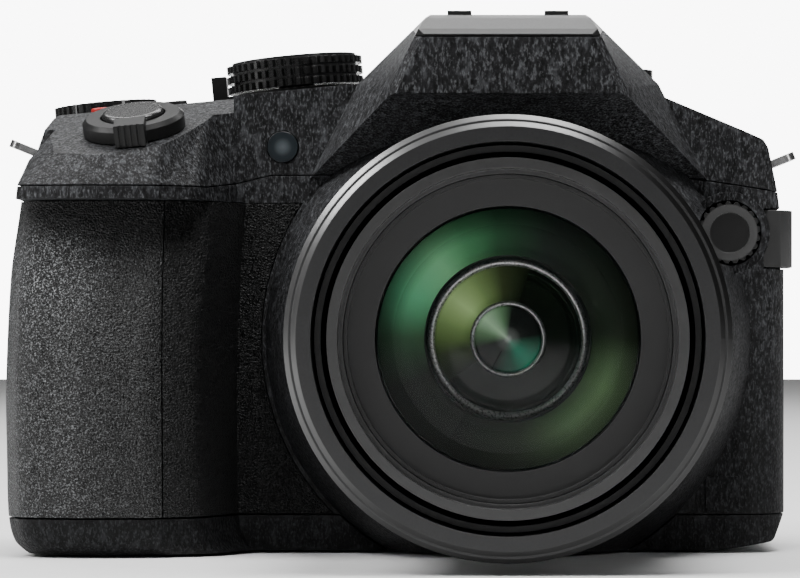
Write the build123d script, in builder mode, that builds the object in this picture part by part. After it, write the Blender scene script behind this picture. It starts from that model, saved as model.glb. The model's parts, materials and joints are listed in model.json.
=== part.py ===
from build123d import *
import os
from math import cos, pi, radians, sin, tan

os.makedirs("parts", exist_ok=True)

# A bridge camera: a fixed zoom lens on a moulded case with a deep hand grip.
# X runs across the camera, -Y is the way the lens looks and Z is up, all in millimetres.
# The origin is the mouth of the tripod socket, on the base under the lens.

# Overall sizes
camera_depth = 117.1
eyecup_back = 34.0
lens_front = camera_depth - eyecup_back
grip_reach = 82.0
case_reach = 46.3
axis_height = 35.5
case_front = 17.0
case_back = 21.0

# Fits
wall = 2.2
seam = 0.2
gap = 0.3
slip = 0.1
pin_fit = 0.05
overrun = 40.0
cut_depth = 2.0

# Case
foot_height = 0.5
deck_height = 78.0
deck_slope = 5.4
side_corner = 8.0
edge_corner = 1.4
base_seam = 6.4
grip_seam = 60.3
lens_seam = 62.7
side_seam = 59.4
back_seam = 3.0
boss_radius = 2.4
boss_root = 1.6
screw_radius = 0.9
screw_length = 6.0
screw_head_radius = 1.7
screw_head_height = 1.0
foot_radius = 2.0
foot_sink = 0.3
tripod_pad_radius = 11.0

# Grip
grip_width = 35.0
grip_front = 37.5
grip_top = 58.2
grip_corner = 5.5
grip_crown_corner = 2.5
grip_shoulder = 60.5
grip_wall = 3.4
rubber_thickness = 1.2
rubber_gap = 0.15
rubber_split = 56.0
rubber_back = 2.0
rubber_collar_gap = 0.8
facet_height = 66.0
facet_slope = 19.0
facet_edge = 45.5

# Hump over the lens
hump_front = 45.5
hump_bevel = 2.2
hump_slope_start = 2.0
hump_back = 22.5
hump_top = 90.6
hump_wall = 2.0

# Lens collar on the case
collar_base_radius = 40.2
collar_front_radius = 35.6
collar_front = 33.0
collar_bore_gap = 0.8

# Lens barrels
barrel_radius = 32.6
barrel_wall = 1.6
barrel_front = 77.0
bezel_radius = 33.7
bezel_length = 9.0
bezel_bore = 29.6
band_drop = 0.8
bezel_face_width = 2.2
cam_radius = 29.2
cam_wall = 1.0
cam_front = 79.0
cam_back = 12.0
cam_flange_length = 3.0
zoom_radius = 27.2
zoom_wall = 2.2
zoom_setback = 0.6
zoom_length = 52.5
zoom_foot_length = 4.0
thread_radius = 25.6
thread_depth = 3.1
thread_step = 0.7
name_ring_depth = 1.7
name_ring_slope = 0.2
name_ring_lip = 0.7
name_ring_length = 3.6
glass_setback = 0.5
glass_radius = 20.0
glass_bulge = 2.2
glass_hollow = 1.0
glass_edge = 5.6
glass_seat = 1.4
baffle_radius = 13.2
baffle_length = 13.0
baffle_wall = 1.0

# Lens groups
group_radius = 12.2
group_bulge = 1.2
group_edge = 4.0
group_rim = 1.1
group_front = 52.0
group_glass_setback = 1.5
group_shoulder = 1.1
group_tube = 12.0
group_web = 1.4
group_foot = 6.0
group_foot_wall = 1.4
iris_radius = 5.6
iris_rim = 1.0
iris_rim_length = 2.0
iris_front = 34.0
iris_thickness = 4.0
rear_glass_radius = 9.0
rear_glass_front = 21.0
rear_glass_length = 6.0
rear_glass_bulge = 0.8

# Chassis, sensor and boards
chassis_front = 9.0
chassis_thickness = 2.0
chassis_left = 44.0
chassis_right = 42.3
chassis_bottom = 5.8
chassis_top = 61.0
chassis_tube_radius = 24.4
chassis_tube_wall = 1.5
sensor_width = 12.8
sensor_height = 10.0
sensor_thickness = 3.0
sensor_window = 4.0
sensor_board_width = 32.0
sensor_board_height = 28.0
board_thickness = 1.4
sensor_post = 1.5
post_radius = 1.6
main_board_front = 9.0
main_board_left = 42.0
main_board_right = 40.0
main_board_bottom = 9.0
main_board_top = 57.0
chip_size = 14.0
chip_thickness = 1.2
motor_radius = 4.5
motor_length = 13.0
motor_shaft = 1.0
motor_shaft_length = 3.0
motor_x = -36.0
motor_z = 52.0

# Battery, card and their door
bay_left = 77.5
bay_right = 54.5
bay_front = 25.0
bay_back = 13.0
bay_bottom = 3.0
bay_top = 49.0
bay_wall = 1.0
battery_gap = 0.2
battery_lift = 1.0
card_thickness = 2.1
card_width = 24.0
card_height = 32.0
card_lift = 4.0
door_margin = 1.0
door_thickness = 2.0
door_knuckle = 1.0
door_pin_radius = 0.5
door_pin_end = 2.0
latch_length = 4.6
latch_width = 6.0
latch_travel = 2.5
latch_depth = 1.0
latch_inset = 2.5
latch_y = -6.0

# Flash head and accessory shoe
flash_hinge_back = -3.0
flash_hinge_height = 89.5
lid_thickness = 2.0
lid_lip = 0.5
lid_opening_front = 42.3
lid_opening_gap = 0.5
lamp_half_width = 10.5
lamp_front = 41.0
lamp_tip = 31.0
lamp_back = 14.0
lamp_bottom = 73.4
flash_window_margin = 1.5
flash_window_thickness = 0.8
flash_knuckle_width = 3.0
flash_knuckle_place = 9.0
flash_pin_radius = 0.4
flash_pin_end = 12.5
shoe_half_width = 10.3
shoe_wall = 1.0
shoe_front = 0.4
shoe_length = 18.4
shoe_floor = 88.7
shoe_sheet = 0.7
shoe_slot_height = 2.1
shoe_lip_half_gap = 6.25
shoe_pad = 1.5

# Mode dial and power lever
mode_dial_x = -36.1
mode_dial_y = 5.0
mode_dial_radius = 11.6
mode_dial_base = 1.5
mode_dial_height = 5.2
mode_dial_tiers = 3
mode_dial_groove = 0.5
mode_dial_knurl = 0.7
dial_shaft_radius = 3.0
knurl_depth = 0.45
knurl_pitch = 1.5
lever_hub_radius = 4.6
lever_base = 0.2
lever_thickness = 1.0
lever_ring_radius = 11.0
power_tab_reach = 14.3
power_tab_width = 4.0
power_tab_height = 4.7
flange_width = 0.9
flange_thickness = 0.8
dial_stop = 4.7
dial_dish = 0.4
dial_dish_border = 2.0

# Shutter button and zoom lever
shutter_x = -61.5
shutter_y = -22.0
zoom_lever_radius = 8.4
zoom_lever_height = 2.8
zoom_lever_hub = 3.6
zoom_lever_floor = 0.5
zoom_lever_chamfer = 0.7
zoom_tab_width = 5.0
zoom_tab_reach = 10.4
zoom_tab_height = 3.9
zoom_tab_ribs = 5
shutter_radius = 5.1
shutter_lift = 1.7
shutter_height = 3.6
shutter_crown = 0.8
shutter_stem = 1.6
shutter_depth = 5.0

# Buttons
button_proud = 0.8
button_crown = 0.3
stem_radius = 0.8
stem_length = 4.2
record_x = -68.8
record_y = -5.2
record_radius = 1.6
function_x = -56.4
function_y = -4.6
function_length = 4.4
function_width = 2.4
rear_button_radius = 2.6
playback_x = -42.0
playback_z = 50.0
display_x = -42.0
display_z = 17.5
finder_button_x = -34.0
finder_button_z = 70.0
lock_button_x = -51.0
lock_button_z = 66.0
lock_button_radius = 3.0
lock_button_proud = 1.6
mode_lever_radius = 6.2
mode_lever_thickness = 1.2
mode_lever_tab = 9.0
mode_lever_tab_width = 2.4
pad_x = -58.0
pad_z = 28.0
pad_radius = 9.6
set_radius = 4.2
thumb_left = 75.0
thumb_right = 60.0
thumb_bottom = 40.0
thumb_top = 57.0
thumb_proud = 1.6
thumb_corner = 4.0
thumb_round = 0.9

# Rear dial, side dial and dioptre wheel
rear_dial_x = -69.4
rear_dial_y = 11.0
rear_dial_radius = 8.8
rear_dial_height = 2.2
rear_dial_shaft = 2.5
side_dial_x = 36.4
side_dial_z = 53.0
side_dial_radius = 5.1
side_dial_base = 1.8
side_dial_height = 7.0
side_dial_cap = 3.3
side_dial_shaft = 1.5
side_boss_radius = 6.8
side_boss_height = 4.6
side_boss_floor = 1.5
dioptre_x = 18.7
dioptre_y = 13.0
dioptre_bottom = 79.5
dioptre_radius = 6.4
dioptre_height = 2.6
dioptre_axle = 0.7
dioptre_axle_length = 1.6
top_board_drop = 5.0
top_board_left = 74.5
top_board_right = 28.0
top_board_front = 7.0
top_board_back = 15.5

# Lamp, finder and strap lugs
lamp_x = -37.4
lamp_z = 67.4
lamp_radius = 2.6
lamp_proud = 0.3
finder_z = 77.0
finder_width = 21.0
finder_height = 13.0
finder_corner = 2.0
finder_glass = 1.6
eyecup_width = 32.0
eyecup_height = 20.0
eyecup_root_width = 28.0
eyecup_root_height = 17.0
eyecup_corner = 6.0
eyecup_lip = 3.0
finder_half_width = 11.5
finder_front = 3.0
finder_bottom = 69.5
lug_width = 7.0
lug_length = 8.0
lug_thickness = 1.3
lug_rise = 22.0
lug_slot_width = 1.8
lug_slot_length = 4.4
lug_edge = 1.3
grip_lug_tip = (-84.6, 68.9)
lens_lug_tip = (48.7, 66.8)
lug_y = 1.0
finder_button_radius = 2.2
finder_module_gap = 0.2

# Monitor and its hinge
monitor_left = 32.0
monitor_right = 41.0
monitor_bottom = 8.0
monitor_top = 57.5
monitor_front = 17.5
monitor_back = 24.0
monitor_corner = 3.0
screen_margin = 4.0
screen_thickness = 1.2
screen_recess = 0.3
hinge_x = 44.0
hinge_y = 22.0
hinge_radius = 2.5
hinge_lug_height = 6.0
hinge_pin_radius = 0.8
hinge_pin_reach = 3.0
tilt_arm_height = 14.0
tilt_arm_front = 18.5
tilt_arm_back = 22.4
tilt_arm_left = 38.0
tilt_shaft_radius = 1.4
tilt_shaft_length = 4.0

# Doors over the sockets
door_proud = 1.4
mic_door_bottom = 47.5
mic_door_top = 57.0
mic_door_front = 15.2
mic_door_back = 2.4
mic_door_sink = 1.2
mic_hinge_x = 46.9
mic_hinge_radius = 0.8
terminal_front = 4.6
terminal_back = 11.7
terminal_bottom = 26.0
terminal_top = 50.0
terminal_sink = 1.4
terminal_knuckle = 0.65
socket_margin = 2.0

# Tripod socket
bush_radius = 5.0
bush_bore = 3.175
bush_depth = 5.5
bush_length = 6.5
bush_boss_radius = 7.5
bush_boss_height = 3.0

deck_rise = tan(radians(deck_slope))
facet_rise = tan(radians(facet_slope))
lens_line = Axis((0, 0, axis_height), (0, 1, 0))
lens_plane = Plane(origin=(0, 0, axis_height), x_dir=(1, 0, 0), z_dir=(0, -1, 0))
lens_section = Plane.XY.offset(axis_height)
bore_radius = barrel_radius + collar_bore_gap

# Outline of the case seen from the front, as shares of the reach to that side and of the deck's height.
grip_side_shares = [(0.955, 0.006), (0.988, 0.035), (1.0, 0.095), (1.0, 0.330), (0.991, 0.600),
                    (0.969, 0.770), (0.957, 0.850)]
lens_side_shares = [(0.918, 0.881), (0.936, 0.864), (0.972, 0.768), (1.0, 0.650), (1.0, 0.088),
                    (0.955, 0.024), (0.765, 0.006)]
deck_end_share = 0.926
lens_deck_share = 0.981
hump_foot = 24.0

# Plan of the grip at each level: share of the grip's height, of its reach to the front and to the side.
grip_level_shares = [(0.0, 0.860, 0.962), (0.045, 0.920, 0.988), (0.110, 0.945, 0.997), (0.340, 0.985, 1.0),
                     (0.580, 1.0, 0.999), (0.745, 0.965, 0.994), (0.875, 0.890, 0.988), (1.0, 0.830, 0.981)]
grip_plan_shares = [(0.0, 0.55), (0.09, 0.90), (0.36, 1.0), (0.68, 0.955), (0.90, 0.70)]
grip_root_share = 1.06
facet_origin_shares = (0.73, 0.92)

# Plan of the grip where its tapering top would end: shares of the grip's width and of its reach to the front.
grip_crown_shares = [(0.34, 0.0), (0.36, 0.31), (0.54, 0.51), (0.66, 0.63), (0.83, 0.64), (0.92, 0.38),
                     (0.985, 0.27), (0.985, 0.0)]

# Seam of the top cover, as shares of the reach to each side.
seam_left_shares = (0.60, 0.48)
seam_right_shares = (0.58, 1.07)

# Half outline of the hump at stations from front to back: half width and height of its top,
# shoulder and foot.
hump_stations = [
    (hump_front, (13.4, 84.0), (17.3, 75.6), (17.9, 74.6)),
    (hump_front - hump_bevel, (14.3, 85.0), (18.9, 75.6), (19.3, 74.0)),
    (case_front, (13.7, 88.9), (25.0, 77.8), (33.0, 62.0)),
    (hump_slope_start, (13.2, hump_top), (24.6, 78.3), (31.0, 62.0)),
    (-hump_back, (12.9, hump_top), (24.0, 78.5), (30.0, 62.0)),
]


# Helpers that draw in the current sketch

def outline(points, radius=0, inset=0):
    """A closed outline with rounded corners, moved inwards by inset."""
    with BuildLine() as border:
        if radius:
            FilletPolyline(*points, radius=radius, close=True)
        else:
            Polyline(*points, close=True)
    make_face(border.edges())
    if inset:
        offset(amount=-inset, kind=Kind.INTERSECTION)


def case_outline(inset):
    """Front outline of the case, moved inwards by inset."""
    left = [(-grip_reach * across, deck_height * up) for across, up in grip_side_shares]
    deck_end = -grip_reach * deck_end_share
    right = [(case_reach * across, deck_height * up) for across, up in lens_side_shares]
    outline([*left, (deck_end, deck_level(deck_end)), (-hump_foot, deck_height),
             (hump_foot, deck_height * lens_deck_share), *right], edge_corner, inset)


def case_plan(inset):
    """Plan of the case without its grip, moved inwards by inset."""
    outline([(-grip_reach, -case_front), (case_reach, -case_front), (case_reach, case_back),
             (-grip_reach, case_back)], side_corner, inset)


def grip_border(front, side):
    """Corners of the grip's plan at one level."""
    root = -side + grip_width * grip_root_share
    nose = [(-side + grip_width * across, -case_front - (front - case_front) * out)
            for across, out in grip_plan_shares]
    return [(-side, 0), *nose, (root, -case_front), (root, 0)]


def grip_plan(front, side, inset):
    """Plan of the grip at one level, moved inwards by inset."""
    outline(grip_border(front, side), grip_corner, inset)


def hump_section(top, shoulder, foot, inset):
    """Section of the hump across the camera, moved inwards by inset."""
    bottom = foot[1] + inset
    half = [(top[0] - inset, top[1] - inset),
            (shoulder[0] - inset, max(shoulder[1] - inset, bottom + slip)), (foot[0] - inset, bottom)]
    outline([*half, *[(-across, up) for across, up in reversed(half)]])


def knurl(radius, pitch=knurl_pitch, depth=knurl_depth):
    """A round outline with even ribs along its edge."""
    count = round(2 * pi * radius / pitch)
    points = []
    for rib in range(count):
        for share, reach in ((0.0, radius - depth), (0.2, radius), (0.6, radius), (0.8, radius - depth)):
            turn = 360 * (rib + share) / count
            points.append((reach * cos(radians(turn)), reach * sin(radians(turn))))
    outline(points)


# Helpers that work on the current part

def disc(place, radius, low, high, mode=Mode.ADD):
    """A round block between two levels over the plane place."""
    with Locations(place.offset(low)):
        Cylinder(radius, high - low, align=(Align.CENTER, Align.CENTER, Align.MIN), mode=mode)


def block(place, width, height, low, high, mode=Mode.ADD):
    """A square block, centred on the plane place, between two levels over it."""
    with Locations(place.offset(low)):
        Box(width, height, high - low, align=(Align.CENTER, Align.CENTER, Align.MIN), mode=mode)


def box(low, high, mode=Mode.ADD):
    """A box between two corners."""
    with Locations(low):
        Box(*[end - start for start, end in zip(low, high)], align=(Align.MIN,) * 3, mode=mode)


def turned(profile, mode=Mode.ADD):
    """A ring turned about the lens axis from (radius, y) points."""
    with BuildSketch(lens_section) as section:
        outline(profile)
    revolve(section.sketch, axis=lens_line, mode=mode)


def lens_glass(radius, front, edge, bulge, back_bulge):
    """A round glass on the lens axis, with its edge from front to front + edge."""
    with BuildSketch(lens_section) as section:
        with BuildLine() as border:
            face = ThreePointArc((-radius, front), (0, front - bulge), (radius, front))
            rim = Line(face @ 1, (radius, front + edge))
            back = ThreePointArc(rim @ 1, (0, front + edge + back_bulge), (-radius, front + edge))
            Line(back @ 1, face @ 0)
        make_face(border.edges())
        with Locations((-overrun, front)):
            Rectangle(2 * overrun, 2 * overrun, mode=Mode.SUBTRACT)
    revolve(section.sketch, axis=lens_line)


# Places on the case

def deck_level(x):
    """Height of the sloping deck at x."""
    return deck_height + (x + hump_foot) * deck_rise


def on_deck(x, y):
    return Plane(origin=(x, y, deck_level(x)), x_dir=(1, 0, deck_rise), z_dir=(-deck_rise, 0, 1))


facet_x = -grip_reach + grip_width * facet_origin_shares[0]
facet_y = -grip_front * facet_origin_shares[1]


def on_facet(x, y):
    height = facet_height + (x - facet_x) * deck_rise + (y - facet_y) * facet_rise
    return Plane(origin=(x, y, height), x_dir=(1, 0, deck_rise), z_dir=(-deck_rise, -facet_rise, 1))


def on_front(x, z):
    return Plane(origin=(x, -case_front, z), x_dir=(1, 0, 0), z_dir=(0, -1, 0))


def on_back(x, z):
    return Plane(origin=(x, case_back, z), x_dir=(-1, 0, 0), z_dir=(0, 1, 0))


# Forms of the case, each as one closed solid

def grip_form(inset):
    with BuildPart() as form:
        for up, front, side in grip_level_shares:
            with BuildSketch(Plane.XY.offset(foot_height + (grip_top - foot_height) * up)):
                grip_plan(grip_front * front, grip_reach * side, inset)
        loft()
        if inset:
            with BuildSketch(Plane.XY.offset(grip_top)):
                grip_plan(grip_front * front, grip_reach * side, inset)
            extrude(amount=inset)
        band = max(grip_shoulder - grip_top, inset + slip)
        with BuildSketch(Plane.XY.offset(grip_top + inset)):
            grip_plan(grip_front, grip_reach, inset)
        extrude(amount=band - inset)
        crown = [(-grip_reach + grip_width * across, -grip_front * out)
                 for across, out in grip_crown_shares]
        with BuildSketch(Plane.XY.offset(grip_top + band)):
            outline(grip_border(grip_front, grip_reach), 0 if inset else grip_corner, inset)
        with BuildSketch(Plane.XY.offset(deck_height)):
            outline(crown, 0 if inset else grip_crown_corner, inset)
        loft()
    return form.part


def hump_form(inset):
    with BuildPart() as form:
        for out, top, shoulder, foot in hump_stations:
            shift = -inset if out > -hump_back else inset
            with BuildSketch(Plane.XZ.offset(out + shift)):
                hump_section(top, shoulder, foot, inset)
        loft(ruled=True)
    return form.part


def body_form(inset, grip_inset):
    """Slab and grip, without hump and collar."""
    with BuildPart() as form:
        with BuildSketch(Plane.XY.offset(foot_height)):
            case_plan(inset)
        extrude(amount=deck_height)
        add(grip_form(grip_inset))
        with BuildSketch(Plane.XZ.offset(2 * overrun)):
            case_outline(inset)
        extrude(amount=-4 * overrun, mode=Mode.INTERSECT)
        with BuildSketch(on_facet(facet_x, facet_y).offset(-inset)) as slope:
            Rectangle(4 * overrun, 4 * overrun)
        with BuildSketch(Plane.YZ.offset(-facet_edge - inset)) as side:
            Rectangle(4 * overrun, 8 * overrun)
        facet = extrude(slope.sketch, amount=overrun, mode=Mode.PRIVATE)
        side_space = extrude(side.sketch, amount=-2 * overrun, mode=Mode.PRIVATE)
        add(facet & side_space, mode=Mode.SUBTRACT)
    return form.part


def seam_space(lift, low, front, back, above):
    """The space above or below the seam of the top cover, which lift moves up."""
    line = [(-4 * overrun, grip_seam), (-grip_reach * seam_left_shares[0], grip_seam),
            (-grip_reach * seam_left_shares[1], lens_seam), (case_reach * seam_right_shares[0], lens_seam),
            (case_reach * seam_right_shares[1], side_seam), (4 * overrun, side_seam)]
    line = [(across, up + lift) for across, up in line]
    end = 4 * overrun if above else low
    with BuildPart() as space:
        with BuildSketch(Plane.XZ.offset(front)):
            outline([*line, (4 * overrun, end), (-4 * overrun, end)])
        extrude(amount=-(front + back))
    return space.part


def lid_space(clearance):
    """Space of the flash lid, with its round rear end, grown by clearance."""
    end_radius = lid_thickness / 2 + clearance
    under = flash_hinge_height - end_radius
    front_under = hump_stations[0][1][1] - lid_lip - clearance
    front_end = -hump_front - cut_depth
    with BuildPart() as space:
        with BuildSketch(Plane.YZ.offset(-overrun)):
            with Locations((flash_hinge_back, flash_hinge_height)):
                Circle(end_radius)
            outline([(front_end, front_under), (flash_hinge_back, under), (flash_hinge_back, 3 * overrun),
                     (front_end, 3 * overrun)])
        extrude(amount=2 * overrun)
    return space.part


def rubber_space(margin):
    """Space on the front that the rubber covers, grown by margin."""
    with BuildPart() as space:
        box((-3 * overrun, -2 * overrun, base_seam + seam - margin),
            (0, -rubber_back + margin, grip_top - seam + margin))
        disc(lens_plane, collar_base_radius + rubber_collar_gap - margin, -overrun, 3 * overrun,
             mode=Mode.SUBTRACT)
    return space.part


def button(place, radius, proud):
    """A round push button with a flange behind the wall and a stem for its switch."""
    disc(place, radius, -wall - seam, proud)
    crown = faces().sort_by(Axis(place.origin, place.z_dir))[-1]
    fillet(crown.edges(), button_crown)
    disc(place, radius + flange_width, -wall - seam - flange_thickness, -wall - seam)
    disc(place, stem_radius, -stem_length, -wall - seam - flange_thickness)


def wall_hole(place, radius):
    """A hole through the wall, with room round a piece of that radius."""
    disc(place, radius + gap, -2 * wall, cut_depth, mode=Mode.SUBTRACT)


# Places of the controls
mode_dial_place = on_deck(mode_dial_x, mode_dial_y)
rear_dial_place = on_deck(rear_dial_x, rear_dial_y)
record_place = on_deck(record_x, record_y)
function_place = on_deck(function_x, function_y)
shutter_place = on_facet(shutter_x, shutter_y)
side_dial_place = on_front(side_dial_x, side_dial_z)
lamp_place = on_front(lamp_x, lamp_z)
playback_place = on_back(playback_x, playback_z)
display_place = on_back(display_x, display_z)
pad_place = on_back(pad_x, pad_z)
lock_place = on_back(lock_button_x, lock_button_z)
finder_button_place = on_back(finder_button_x, finder_button_z)
finder_place = Plane(origin=(0, hump_back, finder_z), x_dir=(-1, 0, 0), z_dir=(0, 1, 0))
dioptre_place = Plane(origin=(dioptre_x, dioptre_y, dioptre_bottom))
board_places = [on_deck(-top_board_left + post_radius, top_board_back - post_radius),
                on_deck(-top_board_right - post_radius, top_board_back - post_radius),
                on_deck(-top_board_left + post_radius, -top_board_front + post_radius),
                on_deck(-top_board_right - post_radius, -top_board_front + post_radius)]


body_solid = body_form(0, 0)
hump_solid = hump_form(0)
rubber_core = body_form(rubber_thickness, rubber_thickness)


def collar_ring(grow):
    """The lens collar with its root in the front wall, grown by grow."""
    with BuildPart() as ring:
        turned([(bore_radius - grow, wall - case_front), (collar_base_radius + grow, wall - case_front),
                (collar_base_radius + grow, -case_front), (collar_front_radius + grow, -collar_front),
                (bore_radius - grow, -collar_front)])
        box((-3 * overrun, -3 * overrun, -overrun), (3 * overrun, 3 * overrun, foot_height),
            mode=Mode.SUBTRACT)
    return ring.part


with BuildPart() as case_solid:
    add(body_solid)
    add(hump_solid)
    disc(lens_plane, bore_radius, case_front - wall - cut_depth, 3 * overrun, mode=Mode.SUBTRACT)

with BuildPart() as case_hollow:
    add(hump_form(hump_wall))
    disc(lens_plane, bore_radius + hump_wall, case_front - wall, 3 * overrun, mode=Mode.SUBTRACT)
    add(body_form(wall, grip_wall))

with BuildPart() as shell:
    add(case_solid.part)
    add(case_hollow.part, mode=Mode.SUBTRACT)

with BuildPart() as rubber_pocket:
    add(body_solid)
    add(rubber_core, mode=Mode.SUBTRACT)
    add(rubber_space(rubber_gap), mode=Mode.INTERSECT)

# Front cover: front of the grip, the lens collar and the dial's housing
chassis_bosses = [(across, up) for across in (boss_radius - chassis_left, chassis_right - boss_radius)
                  for up in (base_seam + seam + boss_radius, side_seam - seam - boss_radius)]


def mic_door_space(margin, knuckle):
    """Space at the front right corner of the case for its small door, grown by margin and by its knuckle."""
    with BuildPart() as space:
        box((case_reach - side_corner, -mic_door_front - 2 * margin, mic_door_bottom - margin),
            (2 * overrun, knuckle + margin - mic_door_back, mic_door_top + margin))
    return space.part


with BuildPart() as front_cover:
    add(shell.part)
    add(seam_space(-seam / 2, base_seam + seam / 2, 3 * overrun, back_seam, False), mode=Mode.INTERSECT)
    add(rubber_pocket.part, mode=Mode.SUBTRACT)
    disc(side_dial_place, side_boss_radius, -wall, side_boss_height)
    add(collar_ring(0))
    add(case_hollow.part, mode=Mode.SUBTRACT)
    for x, z in chassis_bosses:
        disc(on_front(x, z), boss_radius, chassis_front - case_front, -boss_root)
    disc(lens_plane, bore_radius, case_front - wall - cut_depth, 3 * overrun, mode=Mode.SUBTRACT)
    disc(side_dial_place, side_dial_radius + gap, side_boss_floor, overrun, mode=Mode.SUBTRACT)
    wall_hole(side_dial_place, side_dial_shaft)
    with BuildSketch(Plane.XY.offset(mic_door_bottom - gap)) as pocket_plan:
        case_plan(0)
        case_plan_inner = offset(amount=-(mic_door_sink + seam), kind=Kind.INTERSECTION, mode=Mode.PRIVATE)
        add(case_plan_inner, mode=Mode.SUBTRACT)
    pocket = extrude(pocket_plan.sketch, amount=mic_door_top - mic_door_bottom + 2 * gap, mode=Mode.PRIVATE)
    add(pocket & mic_door_space(gap, mic_hinge_radius), mode=Mode.SUBTRACT)
front_cover.part.label = "front_cover"

# Grip rubber and the flat rubber beside the lens
with BuildPart() as grip_rubber:
    add(rubber_pocket.part)
    add(rubber_space(0), mode=Mode.INTERSECT)
    box((-3 * overrun, -3 * overrun, 0), (-rubber_split, overrun, 3 * overrun), mode=Mode.INTERSECT)
grip_rubber.part.label = "grip_rubber"

with BuildPart() as front_rubber:
    add(rubber_pocket.part)
    add(rubber_space(0), mode=Mode.INTERSECT)
    box((-rubber_split + seam, -3 * overrun, 0), (overrun, overrun, 3 * overrun), mode=Mode.INTERSECT)
front_rubber.part.label = "front_rubber"

# Small door at the front right corner, a rubber flap that wraps round it
mic_hinge = Plane(origin=(mic_hinge_x, -mic_door_back, mic_door_bottom))
with BuildPart() as mic_door:
    with BuildSketch(Plane.XY.offset(mic_door_bottom)):
        case_plan(-door_proud)
        with BuildSketch(mode=Mode.PRIVATE) as inner:
            case_plan(mic_door_sink)
        add(inner.sketch, mode=Mode.SUBTRACT)
    extrude(amount=mic_door_top - mic_door_bottom)
    add(mic_door_space(0, 0), mode=Mode.INTERSECT)
    disc(mic_hinge, mic_hinge_radius, 0, mic_door_top - mic_door_bottom)
mic_door.part.label = "mic_door"

# Rear cover with the monitor's recess and hinge lugs
monitor_lug_top = monitor_top - hinge_lug_height
recess_gap = seam + slip
with BuildPart() as recess_block:
    box((-monitor_left - wall, monitor_front - seam - wall, base_seam + seam),
        (case_reach - wall, 2 * overrun, monitor_top + wall + seam))
    add(body_solid, mode=Mode.INTERSECT)

main_posts = [(-main_board_left + post_radius, main_board_bottom + post_radius),
              (main_board_right - post_radius, main_board_bottom + post_radius),
              (-main_board_left + post_radius, main_board_top - post_radius),
              (main_board_right - post_radius, main_board_top - post_radius)]
with BuildPart() as rear_cover:
    add(shell.part)
    add(seam_space(-seam / 2, base_seam + seam / 2, -back_seam - seam, 2 * overrun, False),
        mode=Mode.INTERSECT)
    add(recess_block.part)
    for x, z in main_posts:
        disc(on_back(x, z), post_radius, main_board_front + board_thickness - case_back, -wall)
    box((-monitor_left - recess_gap, monitor_front - seam, monitor_bottom - recess_gap),
        (2 * overrun, 2 * overrun, monitor_top + recess_gap), mode=Mode.SUBTRACT)
    for low, high in ((monitor_bottom, monitor_bottom + hinge_lug_height), (monitor_lug_top, monitor_top)):
        disc(Plane(origin=(hinge_x, hinge_y, 0)), hinge_radius, low, high)
        box((hinge_x - hinge_radius, monitor_front - wall, low), (hinge_x + hinge_radius, hinge_y, high))
        disc(Plane(origin=(hinge_x, hinge_y, 0)), hinge_pin_radius + pin_fit / 2, low - cut_depth,
             high + cut_depth, mode=Mode.SUBTRACT)
    for place, radius in ((playback_place, rear_button_radius), (display_place, rear_button_radius),
                          (pad_place, pad_radius)):
        wall_hole(place, radius)
    box((-2 * grip_reach, terminal_front - gap, terminal_bottom - gap),
        (-grip_reach + terminal_sink + seam, terminal_back + terminal_knuckle + gap, terminal_top + gap),
        mode=Mode.SUBTRACT)
    box((-grip_reach, terminal_front + socket_margin, terminal_bottom + socket_margin),
        (-grip_reach + 2 * wall, terminal_back - socket_margin, terminal_top - socket_margin),
        mode=Mode.SUBTRACT)
rear_cover.part.label = "rear_cover"

# Thumb rest on the back
with BuildPart() as thumb_rest:
    with BuildSketch(Plane.XZ.offset(-case_back)):
        with Locations((-(thumb_left + thumb_right) / 2, (thumb_bottom + thumb_top) / 2)):
            RectangleRounded(thumb_left - thumb_right, thumb_top - thumb_bottom, thumb_corner)
    extrude(amount=-thumb_proud)
    fillet(faces().sort_by(Axis.Y)[-1].edges(), thumb_round)
thumb_rest.part.label = "thumb_rest"

# Door over the cable sockets, flush with the side of the grip
terminal_inner = -grip_reach + terminal_sink
terminal_hinge = Plane(origin=(terminal_inner - terminal_knuckle, terminal_back, terminal_bottom))
with BuildPart() as terminal_door:
    box((-2 * grip_reach, terminal_front, terminal_bottom), (terminal_inner, terminal_back, terminal_top))
    add(body_solid, mode=Mode.INTERSECT)
    disc(terminal_hinge, terminal_knuckle, 0, terminal_top - terminal_bottom)
terminal_door.part.label = "terminal_door"

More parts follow.
